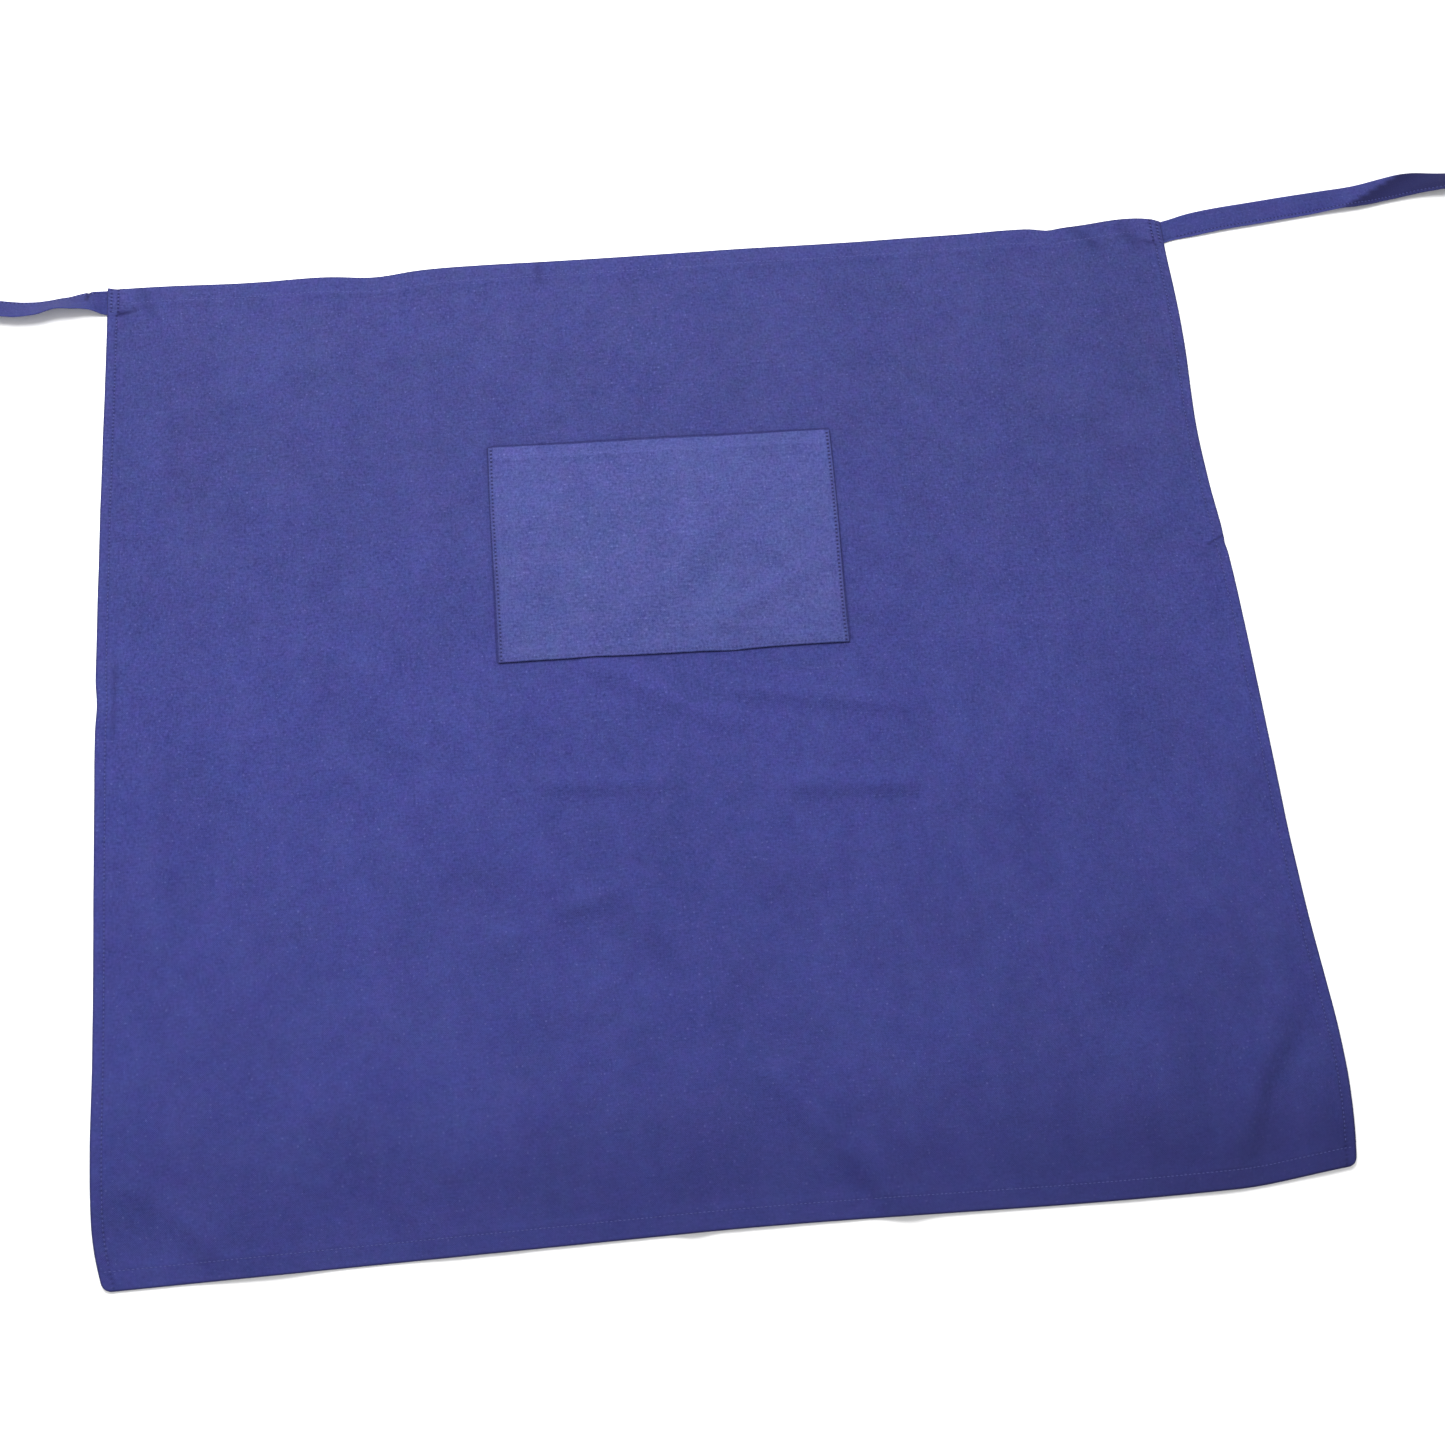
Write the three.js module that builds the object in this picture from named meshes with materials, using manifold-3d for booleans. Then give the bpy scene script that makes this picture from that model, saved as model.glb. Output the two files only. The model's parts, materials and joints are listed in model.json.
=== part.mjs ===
// Waist apron of blue cotton cloth, lying flat with its front up.
//
// The panel is one cloth turned under along all four edges. One patch pocket is sewn to its
// front on three sides. A flat tie is tucked into each top corner and sewn there; it runs out
// sideways, turns onto its edge and ends in a flat roll that stands on the same surface.
//
// Millimetres. +X runs along the waist to the right as seen from the front, +Y from the bottom
// hem to the waist and +Z out of the front. The origin is the middle of the panel's back face.

import * as THREE from 'three';
import { mergeVertices } from 'three/addons/utils/BufferGeometryUtils.js';
import Module from 'manifold-3d';

const wasm = await Module();
wasm.setup();

// Panel
const WAIST_WIDTH = 798;
const BOTTOM_WIDTH = 830;
const PANEL_LENGTH = 712;
const BOTTOM_CORNER_RADIUS = 6;
const CLOTH_THICKNESS = 0.8;
const HEM_THICKNESS = 2.7;

// Stitch lines, each measured in from its edge
const WAIST_SEAM_INSET = 12.5;
const SIDE_SEAM_INSET = 7.5;
const BOTTOM_SEAM_INSET = 12.5;
const SEAM_TO_FOLD = 1.5;

// Pocket
const POCKET_WIDTH = 250;
const POCKET_HEIGHT = 164;
const POCKET_CENTRE_X = -5;
const POCKET_CENTRE_Y = 120.3;
const POCKET_TURN = THREE.MathUtils.degToRad(-1.1);
const POCKET_MARGIN = 8;
const POCKET_SEAM_INSET = 2.3;
const POCKET_BOW = 7;
const MOUTH_BAND = 10;
const MOUTH_SEAM_INSET = 7.6;

// Ties
const TIE_LENGTH = 900;
const TIE_WIDTH = 20;
const TIE_THICKNESS = 1.4;
const TIE_DROP = 1.5;
const TIE_REST = 0.4;
const TAB_LENGTH = 14;
const HINGE_OFFSET = 2.5;
const LEFT_TIE_FLAT = 20;
const LEFT_TIE_TURN = 120;
const RIGHT_TIE_FLAT = 165;
const RIGHT_TIE_TURN = 110;
const RIGHT_TIE_SLOPE = THREE.MathUtils.degToRad(7.5);
const TIE_EDGE_RUN = 12;
const ROLL_EYE_RADIUS = 6;
const ROLL_PITCH = 2;
const TIE_SEAM_INSET = 2.5;
const TIE_SEAM_START = 6;

// Thread beads and the box of stitches that holds each tie
const THREAD_WIDTH = 0.6;
const THREAD_HEIGHT = 0.25;
const ANCHOR_INSET = 4;
const ANCHOR_LENGTH = 6;
const ANCHOR_MARGIN = 2;

// Clearances
const THREAD_GAP = 0.1;
const FLOOR_GAP = 0.05;
const GROOVE_GAP = 0.15;
const TUCK_GAP = 0.1;
const TAB_GAP = 0.3;
const END_GAP = 0.4;
const LAY_GAP = 0.3;
const SEAM_END_GAP = 1.5;

// Fineness of the surfaces
const POCKET_COLUMNS = 14;
const POCKET_ROWS = 7;
const TURN_STEP = 8;
const TIE_LANES = 3;
const ROLL_SIDES = 40;
const CORNER_STEPS = 5;
const STEP_RUN = 0.2;
const CUT_OVERRUN = 5;
const MERGE_DISTANCE = 1e-4;

// Derived sizes
const waistY = PANEL_LENGTH / 2;
const bottomY = -PANEL_LENGTH / 2;
const waistSeamY = waistY - WAIST_SEAM_INSET;
const bottomSeamY = bottomY + BOTTOM_SEAM_INSET;
const tieY = waistY - TIE_DROP - TIE_WIDTH / 2;
const tieMidZ = TIE_REST + TIE_THICKNESS / 2;
const tieTopZ = TIE_REST + TIE_THICKNESS;
const bobbinTopZ = FLOOR_GAP + THREAD_HEIGHT;
const grooveDepth = bobbinTopZ + FLOOR_GAP;
const grooveWidth = THREAD_WIDTH + 2 * GROOVE_GAP;
const pocketBaseZ = CLOTH_THICKNESS + LAY_GAP;

const panelCloth = new THREE.MeshStandardMaterial({ color: 0x4a4f9c, roughness: 0.92, metalness: 0 });
const pocketCloth = new THREE.MeshStandardMaterial({ color: 0x5b60ab, roughness: 0.92, metalness: 0 });
const tieCloth = new THREE.MeshStandardMaterial({ color: 0x474c98, roughness: 0.9, metalness: 0 });
const thread = new THREE.MeshStandardMaterial({ color: 0x3c408c, roughness: 0.7, metalness: 0 });

/** Half the panel's width at a given Y: the side edges flare in a straight line. */
function sideX(y) {
  const share = (y - bottomY) / PANEL_LENGTH;
  return THREE.MathUtils.lerp(BOTTOM_WIDTH, WAIST_WIDTH, share) / 2;
}

/** A solid for cutting and joining, from a closed three.js geometry. */
function toSolid(geometry) {
  const bare = geometry.clone();
  bare.deleteAttribute('normal');
  bare.deleteAttribute('uv');
  const merged = mergeVertices(bare, MERGE_DISTANCE);
  return new wasm.Manifold(new wasm.Mesh({
    numProp: 3,
    vertProperties: new Float32Array(merged.attributes.position.array),
    triVerts: new Uint32Array(merged.index.array),
  }));
}

/** A three.js geometry from a cut solid. */
function toGeometry(solid) {
  const mesh = solid.getMesh();
  const geometry = new THREE.BufferGeometry();
  geometry.setAttribute('position', new THREE.BufferAttribute(mesh.vertProperties, mesh.numProp));
  geometry.setIndex(new THREE.BufferAttribute(mesh.triVerts, 1));
  geometry.computeVertexNormals();
  return geometry;
}

/** The first geometry with each of the others cut away from it. */
function cut(geometry, cutters) {
  let solid = toSolid(geometry);
  for (const cutter of cutters) {
    solid = solid.subtract(toSolid(cutter));
  }
  return toGeometry(solid);
}

/** A flat shape raised from one height to another. */
function plate(shape, lowZ, highZ) {
  const geometry = new THREE.ExtrudeGeometry(shape, {
    depth: highZ - lowZ,
    bevelEnabled: false,
    curveSegments: CORNER_STEPS,
  });
  geometry.translate(0, 0, lowZ);
  return geometry;
}

/** A box given by its lower and upper corners. */
function block(low, high) {
  const size = new THREE.Vector3().subVectors(high, low);
  const middle = new THREE.Vector3().addVectors(low, high).multiplyScalar(0.5);
  const geometry = new THREE.BoxGeometry(size.x, size.y, size.z);
  geometry.translate(middle.x, middle.y, middle.z);
  return geometry;
}

/** A straight bar of rectangular section along the line between two points on the plan. */
function bar(start, end, width, lowZ, highZ) {
  const run = new THREE.Vector2().subVectors(end, start);
  const geometry = new THREE.BoxGeometry(run.length(), width, highZ - lowZ);
  geometry.rotateZ(run.angle());
  geometry.translate((start.x + end.x) / 2, (start.y + end.y) / 2, (lowZ + highZ) / 2);
  return geometry;
}

/** The flared outline of the panel with its two rounded lower corners. */
function panelOutline() {
  const cornerY = bottomY + BOTTOM_CORNER_RADIUS;
  const endX = sideX(bottomY);
  const shape = new THREE.Shape();
  shape.moveTo(-sideX(waistY), waistY);
  shape.lineTo(-sideX(cornerY), cornerY);
  shape.quadraticCurveTo(-endX, bottomY, -endX + BOTTOM_CORNER_RADIUS, bottomY);
  shape.lineTo(endX - BOTTOM_CORNER_RADIUS, bottomY);
  shape.quadraticCurveTo(endX, bottomY, sideX(cornerY), cornerY);
  shape.lineTo(sideX(waistY), waistY);
  shape.closePath();
  return shape;
}

/** The part of the panel inside its hems, where the cloth is a single layer. */
function fieldOutline() {
  const highY = waistSeamY - SEAM_TO_FOLD;
  const lowY = bottomSeamY + SEAM_TO_FOLD;
  const hem = SIDE_SEAM_INSET + SEAM_TO_FOLD;
  const shape = new THREE.Shape();
  shape.moveTo(-sideX(highY) + hem, highY);
  shape.lineTo(-sideX(lowY) + hem, lowY);
  shape.lineTo(sideX(lowY) - hem, lowY);
  shape.lineTo(sideX(highY) - hem, highY);
  shape.closePath();
  return shape;
}

/** A straight stitch line on the panel: where it starts and ends on the plan. */
function seamLine(startX, startY, endX, endY) {
  return { start: new THREE.Vector2(startX, startY), end: new THREE.Vector2(endX, endY) };
}

/** The stitch line of one side hem; side is -1 for the left and 1 for the right. */
function sideSeam(side) {
  const lowY = bottomSeamY + SEAM_END_GAP;
  const highY = tieY - TIE_WIDTH / 2 - SEAM_END_GAP;
  const lowX = side * (sideX(lowY) - SIDE_SEAM_INSET);
  const highX = side * (sideX(highY) - SIDE_SEAM_INSET);
  return seamLine(lowX, lowY, highX, highY);
}

/** The stitch line of the waist hem, between the two tucked tie ends. */
function waistSeam() {
  const endX = sideX(tieY) - TAB_LENGTH - SEAM_END_GAP;
  return seamLine(-endX, waistSeamY, endX, waistSeamY);
}

/** The stitch line of the bottom hem. */
function bottomSeam() {
  const endX = sideX(bottomSeamY) - SEAM_END_GAP;
  return seamLine(-endX, bottomSeamY, endX, bottomSeamY);
}

/** The thread on top of a hem. */
function needleBead(line) {
  const lowZ = HEM_THICKNESS + THREAD_GAP;
  return bar(line.start, line.end, THREAD_WIDTH, lowZ, lowZ + THREAD_HEIGHT);
}

/** The thread under a hem. */
function bobbinBead(line) {
  return bar(line.start, line.end, THREAD_WIDTH, FLOOR_GAP, bobbinTopZ);
}

/** The groove that takes the thread under a hem. */
function bobbinGroove(line) {
  const run = new THREE.Vector2().subVectors(line.end, line.start).setLength(GROOVE_GAP);
  const start = line.start.clone().sub(run);
  const end = line.end.clone().add(run);
  return bar(start, end, grooveWidth, -CUT_OVERRUN, grooveDepth);
}

/** The space in a top corner of the panel that takes the tucked end of a tie. */
function tuckSpace(side) {
  const edge = sideX(tieY);
  const inner = side * (edge - TAB_LENGTH - TAB_GAP);
  const outer = side * (edge + CUT_OVERRUN);
  const reach = TIE_WIDTH / 2 + TAB_GAP;
  return block(
    new THREE.Vector3(Math.min(inner, outer), tieY - reach, -CUT_OVERRUN),
    new THREE.Vector3(Math.max(inner, outer), tieY + reach, tieTopZ + TUCK_GAP),
  );
}

/** The tucked and sewn end of a tie. */
function tieTab(side) {
  const edge = sideX(tieY);
  const inner = side * (edge - TAB_LENGTH);
  const outer = side * (edge - TAB_GAP);
  return block(
    new THREE.Vector3(Math.min(inner, outer), tieY - TIE_WIDTH / 2, TIE_REST),
    new THREE.Vector3(Math.max(inner, outer), tieY + TIE_WIDTH / 2, tieTopZ),
  );
}

/** The closed box of stitches through a tucked tie end. */
function anchorRing(side, lowZ) {
  const middleX = side * (sideX(tieY) - ANCHOR_INSET - ANCHOR_LENGTH / 2);
  const reachX = ANCHOR_LENGTH / 2;
  const reachY = TIE_WIDTH / 2 - ANCHOR_MARGIN;
  const shape = rectangle(new THREE.Shape(), reachX + THREAD_WIDTH / 2, reachY + THREAD_WIDTH / 2);
  shape.holes.push(rectangle(new THREE.Path(), reachX - THREAD_WIDTH / 2, reachY - THREAD_WIDTH / 2));
  const geometry = plate(shape, lowZ, lowZ + THREAD_HEIGHT);
  geometry.translate(middleX, tieY, 0);
  return geometry;
}

/** A centred rectangle drawn onto a shape or a path. */
function rectangle(path, halfWidth, halfHeight) {
  path.moveTo(-halfWidth, -halfHeight);
  path.lineTo(halfWidth, -halfHeight);
  path.lineTo(halfWidth, halfHeight);
  path.lineTo(-halfWidth, halfHeight);
  path.closePath();
  return path;
}

// The pocket is drawn about its own middle, with its underside at zero.

const pocketHalf = POCKET_WIDTH / 2;
const pocketLowY = -POCKET_HEIGHT / 2;
const pocketHighY = POCKET_HEIGHT / 2;
const mouthFoldY = pocketHighY - MOUTH_BAND;

/** True where a point of the pocket lies in the turned-under margin that is sewn down. */
function inPocketMargin(x, y) {
  return Math.abs(x) >= pocketHalf - POCKET_MARGIN || y <= pocketLowY + POCKET_MARGIN;
}

/** How far the pocket stands off the panel: nothing at the seams, most at the mouth. */
function pocketBow(x, y) {
  const across = x / (pocketHalf - POCKET_MARGIN);
  const up = (y - pocketLowY - POCKET_MARGIN) / (POCKET_HEIGHT - POCKET_MARGIN);
  return POCKET_BOW * (1 - across ** 4) * (1 - (1 - up) ** 4);
}

/** Height of the pocket's outer face. */
function pocketOuter(x, y) {
  const seam = 2 * CLOTH_THICKNESS;
  if (inPocketMargin(x, y)) {
    return seam;
  }
  const band = y >= mouthFoldY ? 2 * CLOTH_THICKNESS : 0;
  return seam + band + pocketBow(x, y);
}

/** Height of the pocket's inner face. */
function pocketInner(x, y) {
  return inPocketMargin(x, y) ? 0 : CLOTH_THICKNESS + pocketBow(x, y);
}

/** Equal steps from one value to another, both ends included. */
function spread(from, to, count) {
  return Array.from({ length: count + 1 }, (_, i) => THREE.MathUtils.lerp(from, to, i / count));
}

/** A closed sheet over a grid of lines, with its upper and lower heights given by functions. */
function sheet(xs, ys, upper, lower) {
  const geometry = new THREE.BoxGeometry(1, 1, 1, xs.length - 1, ys.length - 1, 1);
  const position = geometry.attributes.position;
  for (let i = 0; i < position.count; i += 1) {
    const x = xs[Math.round((position.getX(i) + 0.5) * (xs.length - 1))];
    const y = ys[Math.round((position.getY(i) + 0.5) * (ys.length - 1))];
    const z = position.getZ(i) > 0 ? upper(x, y) : lower(x, y);
    position.setXYZ(i, x, y, z);
  }
  return geometry;
}

/** The lines across the bowed part of the pocket. */
function pocketFieldColumns() {
  const reach = pocketHalf - POCKET_MARGIN - STEP_RUN;
  return spread(-reach, reach, POCKET_COLUMNS);
}

/** The pocket cloth: flat at its sewn margins, bowed between them, thicker at the mouth hem. */
function pocketSheet() {
  const marginX = pocketHalf - POCKET_MARGIN;
  const marginY = pocketLowY + POCKET_MARGIN;
  const xs = [-pocketHalf, -marginX, ...pocketFieldColumns(), marginX, pocketHalf];
  const ys = [
    pocketLowY,
    marginY,
    ...spread(marginY + STEP_RUN, mouthFoldY - STEP_RUN, POCKET_ROWS),
    mouthFoldY,
    pocketHighY,
  ];
  return sheet(xs, ys, pocketOuter, pocketInner);
}

/** The stitch line across the mouth hem, on the outer face or on the inner one. */
function mouthBead(outside) {
  const seamY = pocketHighY - MOUTH_SEAM_INSET;
  const ys = [seamY - THREAD_WIDTH / 2, seamY + THREAD_WIDTH / 2];
  const lowest = (x, y) => (
    outside ? pocketOuter(x, y) + THREAD_GAP : pocketInner(x, y) - THREAD_GAP - THREAD_HEIGHT
  );
  return sheet(pocketFieldColumns(), ys, (x, y) => lowest(x, y) + THREAD_HEIGHT, lowest);
}

/** A U-shaped strip along the pocket's sewn edges; grow widens and lengthens it. */
function pocketSeamShape(grow) {
  const outerX = pocketHalf - POCKET_SEAM_INSET + THREAD_WIDTH / 2 + grow;
  const innerX = pocketHalf - POCKET_SEAM_INSET - THREAD_WIDTH / 2 - grow;
  const outerY = pocketLowY + POCKET_SEAM_INSET - THREAD_WIDTH / 2 - grow;
  const innerY = pocketLowY + POCKET_SEAM_INSET + THREAD_WIDTH / 2 + grow;
  const endY = pocketHighY - SEAM_END_GAP + grow;
  const shape = new THREE.Shape();
  shape.moveTo(-outerX, endY);
  shape.lineTo(-outerX, outerY);
  shape.lineTo(outerX, outerY);
  shape.lineTo(outerX, endY);
  shape.lineTo(innerX, endY);
  shape.lineTo(innerX, innerY);
  shape.lineTo(-innerX, innerY);
  shape.lineTo(-innerX, endY);
  shape.closePath();
  return shape;
}

/** The group that places the pocket on the panel. */
function pocketGroup() {
  const group = new THREE.Group();
  group.position.set(POCKET_CENTRE_X, POCKET_CENTRE_Y, 0);
  group.rotation.z = POCKET_TURN;
  group.updateMatrix();
  return group;
}

/** The panel: hems at full thickness, single cloth between them, grooves and tucks cut out. */
function panelGeometry(pocketPlace) {
  const pocketGroove = plate(pocketSeamShape(GROOVE_GAP), -CUT_OVERRUN, grooveDepth);
  pocketGroove.applyMatrix4(pocketPlace);
  return cut(plate(panelOutline(), 0, HEM_THICKNESS), [
    plate(fieldOutline(), CLOTH_THICKNESS, HEM_THICKNESS + CUT_OVERRUN),
    pocketGroove,
    bobbinGroove(sideSeam(-1)),
    bobbinGroove(sideSeam(1)),
    bobbinGroove(waistSeam()),
    bobbinGroove(bottomSeam()),
    tuckSpace(-1),
    tuckSpace(1),
  ]);
}

/** One tie as laid: its place, its run from flat to standing on edge, and its roll. */
class Tie {
  constructor({ name, side, flat, turn, slope }) {
    this.name = name;
    this.side = side;
    this.flat = flat;
    this.turn = turn;
    this.slope = slope;
    this.start = END_GAP - HINGE_OFFSET + (TIE_WIDTH / 2) * Math.sin(slope);
    this.end = flat + turn + TIE_EDGE_RUN;
    const wound = TIE_LENGTH - TAB_LENGTH - HINGE_OFFSET - this.end;
    this.rollRadius = Math.sqrt(ROLL_EYE_RADIUS ** 2 + (wound * ROLL_PITCH) / Math.PI);
  }

  /** How far the tie has turned onto its edge at a distance along it. */
  angleAt(s) {
    return THREE.MathUtils.smoothstep(s, this.flat, this.flat + this.turn) * Math.PI / 2;
  }

  /** Height of the middle of the tie, so that its lower edge stays just off the surface. */
  midHeightAt(s) {
    const angle = this.angleAt(s);
    return tieMidZ * Math.cos(angle) + (TIE_WIDTH / 2) * Math.sin(angle);
  }

  /** A strip of the tie between two places along it and two through it, on lines across it. */
  strip(from, to, across, through) {
    const turning = spread(this.flat, this.flat + this.turn, Math.ceil(this.turn / TURN_STEP));
    const stations = [from, ...turning, to];
    const steps = stations.length - 1;
    const lanes = across.length - 1;
    const geometry = new THREE.BoxGeometry(1, 1, 1, steps, lanes, 1);
    const position = geometry.attributes.position;
    for (let i = 0; i < position.count; i += 1) {
      const s = stations[Math.round((position.getX(i) + 0.5) * steps)];
      const v = across[Math.round((position.getY(i) + 0.5) * lanes)];
      const n = THREE.MathUtils.lerp(through[0], through[1], position.getZ(i) + 0.5);
      const cos = Math.cos(this.angleAt(s));
      const sin = Math.sin(this.angleAt(s));
      position.setXYZ(i, s, v * cos - n * sin, this.midHeightAt(s) + v * sin + n * cos);
    }
    return geometry;
  }

  /** The two sides of the stitch line that closes the folded tie along its edge. */
  seamLanes() {
    const seam = -TIE_WIDTH / 2 + TIE_SEAM_INSET;
    return [seam - THREAD_WIDTH / 2, seam + THREAD_WIDTH / 2];
  }

  /** The tie from the panel's edge to its roll. */
  strap() {
    const half = TIE_WIDTH / 2;
    const [low, high] = this.seamLanes();
    const across = [-half, low, ...spread(high, half, TIE_LANES)];
    return this.strip(this.start, this.end, across, [-TIE_THICKNESS / 2, TIE_THICKNESS / 2]);
  }

  /** One of the two threads of the stitch line along the tie. */
  edgeBead(upper) {
    const near = TIE_THICKNESS / 2 + THREAD_GAP;
    const far = near + THREAD_HEIGHT;
    const through = upper ? [near, far] : [-far, -near];
    return this.strip(TIE_SEAM_START, this.end - TIE_EDGE_RUN / 2, this.seamLanes(), through);
  }

  /** The wound remainder of the tie as a plain ring standing on the surface. */
  roll() {
    const profile = [
      new THREE.Vector2(ROLL_EYE_RADIUS, 0),
      new THREE.Vector2(this.rollRadius, 0),
      new THREE.Vector2(this.rollRadius, TIE_WIDTH),
      new THREE.Vector2(ROLL_EYE_RADIUS, TIE_WIDTH),
      new THREE.Vector2(ROLL_EYE_RADIUS, 0),
    ];
    const geometry = new THREE.LatheGeometry(profile, ROLL_SIDES);
    geometry.rotateX(Math.PI / 2);
    const beside = this.rollRadius + TIE_THICKNESS / 2 + LAY_GAP;
    geometry.translate(this.end, -this.side * beside, 0);
    return geometry;
  }

  /** The group whose origin is the fold line beside the panel's edge. */
  group() {
    const group = new THREE.Group();
    group.name = `${this.name}_tie`;
    group.position.set(this.side * (sideX(tieY) + HINGE_OFFSET), tieY, 0);
    group.rotation.z = this.side > 0 ? this.slope : Math.PI - this.slope;
    addMesh(group, `${this.name}_tie_strap`, this.strap(), tieCloth);
    addMesh(group, `${this.name}_tie_roll`, this.roll(), tieCloth);
    addMesh(group, `${this.name}_tie_edge_needle_thread`, this.edgeBead(true), thread);
    addMesh(group, `${this.name}_tie_edge_bobbin_thread`, this.edgeBead(false), thread);
    return group;
  }
}

/** Adds one named piece to a group. */
function addMesh(group, name, geometry, material) {
  const mesh = new THREE.Mesh(geometry, material);
  mesh.name = name;
  group.add(mesh);
}

/** Adds the needle and bobbin threads of one straight hem. */
function addHemThreads(group, name, line) {
  addMesh(group, `${name}_needle_thread`, needleBead(line), thread);
  addMesh(group, `${name}_bobbin_thread`, bobbinBead(line), thread);
}

const apron = new THREE.Group();
apron.name = 'waist_apron';

const pocket = pocketGroup();
const pocketSeamZ = pocketBaseZ + 2 * CLOTH_THICKNESS + THREAD_GAP;
const pocketSheetGeometry = pocketSheet();
pocketSheetGeometry.translate(0, 0, pocketBaseZ);
const mouthNeedle = mouthBead(true);
mouthNeedle.translate(0, 0, pocketBaseZ);
const mouthBobbin = mouthBead(false);
mouthBobbin.translate(0, 0, pocketBaseZ);

addMesh(apron, 'body_panel', panelGeometry(pocket.matrix), panelCloth);
addHemThreads(apron, 'left_hem', sideSeam(-1));
addHemThreads(apron, 'right_hem', sideSeam(1));
addHemThreads(apron, 'waist_hem', waistSeam());
addHemThreads(apron, 'bottom_hem', bottomSeam());

addMesh(pocket, 'pocket_panel', pocketSheetGeometry, pocketCloth);
addMesh(pocket, 'pocket_mouth_needle_thread', mouthNeedle, thread);
addMesh(pocket, 'pocket_mouth_bobbin_thread', mouthBobbin, thread);
addMesh(
  pocket,
  'pocket_seam_needle_thread',
  plate(pocketSeamShape(0), pocketSeamZ, pocketSeamZ + THREAD_HEIGHT),
  thread,
);
addMesh(pocket, 'pocket_seam_bobbin_thread', plate(pocketSeamShape(0), FLOOR_GAP, bobbinTopZ), thread);
apron.add(pocket);

for (const [name, side] of [['left', -1], ['right', 1]]) {
  addMesh(apron, `${name}_tie_tab`, tieTab(side), tieCloth);
  const needleZ = HEM_THICKNESS + THREAD_GAP;
  addMesh(apron, `${name}_anchor_needle_thread`, anchorRing(side, needleZ), thread);
  addMesh(apron, `${name}_anchor_bobbin_thread`, anchorRing(side, FLOOR_GAP), thread);
}

const leftTie = new Tie({
  name: 'left',
  side: -1,
  flat: LEFT_TIE_FLAT,
  turn: LEFT_TIE_TURN,
  slope: 0,
});
const rightTie = new Tie({
  name: 'right',
  side: 1,
  flat: RIGHT_TIE_FLAT,
  turn: RIGHT_TIE_TURN,
  slope: RIGHT_TIE_SLOPE,
});
apron.add(leftTie.group(), rightTie.group());

export default apron;
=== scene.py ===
"""Looks of a blue cotton waist apron: its panel, pocket, ties and stitching.

Lengths inside the classes are millimetres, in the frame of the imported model: +X along the waist,
+Y from the bottom hem to the waist and +Z out of the front. They become metres when a mesh is
written.
"""

import json
import logging
from dataclasses import dataclass, field
from enum import Enum
from typing import Optional, Sequence, Union

import bpy
import numpy as np
from mathutils import Matrix, Vector


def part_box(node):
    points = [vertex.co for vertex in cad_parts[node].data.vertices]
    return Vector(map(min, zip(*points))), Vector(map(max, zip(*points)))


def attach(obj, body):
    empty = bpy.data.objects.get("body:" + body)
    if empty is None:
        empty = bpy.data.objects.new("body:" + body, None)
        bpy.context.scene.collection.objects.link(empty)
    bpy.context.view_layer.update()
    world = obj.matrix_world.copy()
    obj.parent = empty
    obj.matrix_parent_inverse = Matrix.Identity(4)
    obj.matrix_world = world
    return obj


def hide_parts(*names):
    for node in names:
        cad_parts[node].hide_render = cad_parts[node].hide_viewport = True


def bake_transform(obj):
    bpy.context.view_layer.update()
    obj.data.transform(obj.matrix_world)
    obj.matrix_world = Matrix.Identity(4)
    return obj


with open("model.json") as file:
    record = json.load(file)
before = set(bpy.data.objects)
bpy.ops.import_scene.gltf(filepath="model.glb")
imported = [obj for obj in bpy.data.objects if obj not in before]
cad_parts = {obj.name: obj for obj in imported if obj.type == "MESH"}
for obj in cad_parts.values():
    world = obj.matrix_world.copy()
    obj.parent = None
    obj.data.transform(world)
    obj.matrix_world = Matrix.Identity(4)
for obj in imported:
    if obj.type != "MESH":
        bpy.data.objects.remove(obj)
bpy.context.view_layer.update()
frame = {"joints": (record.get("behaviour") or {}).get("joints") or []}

Array = np.ndarray
Colour = tuple[float, float, float]
Tint = tuple[float, float, float, float]
Run = tuple[Array, Array, Array]
Bells = tuple[tuple[float, float, float], ...]
log = logging.getLogger("apron")

METRES = 0.001
TURN = 2.0 * np.pi
WAVES = 7
SPREAD_OF_WAVES = (0.75, 1.5)


# ---------------------------------------------------------------------------------------------
# Small functions on whole arrays


def smooth(t: Array) -> Array:
    """An S from 0 to 1: 3t^2 - 2t^3, with t held between 0 and 1."""
    t = np.clip(t, 0.0, 1.0)
    return t * t * (3.0 - 2.0 * t)


def hump(distance: Array, width: float) -> Array:
    """A bell of height 1: e to the power of minus (distance over width) squared."""
    return np.exp(-((distance / width) ** 2))


def bells(t: Array, rows: Bells, level: float = 0.0) -> Array:
    """A level with bells on it.

    Args:
        t: where it is wanted.
        rows: rise, middle and width of each bell.
        level: the level between the bells.
    Returns:
        The level plus the sum of rise times the bell of (t - middle) and width.
    """
    total = level
    for rise, middle, width in rows:
        total = total + rise * hump(t - middle, width)
    return total


def rounded(edge: Array, radius: float) -> Array:
    """A quarter ellipse: 0 at an edge and 1 from its radius inwards."""
    return np.sqrt(np.clip(1.0 - (1.0 - np.minimum(edge / radius, 1.0)) ** 2, 0.0, 1.0))


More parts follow.
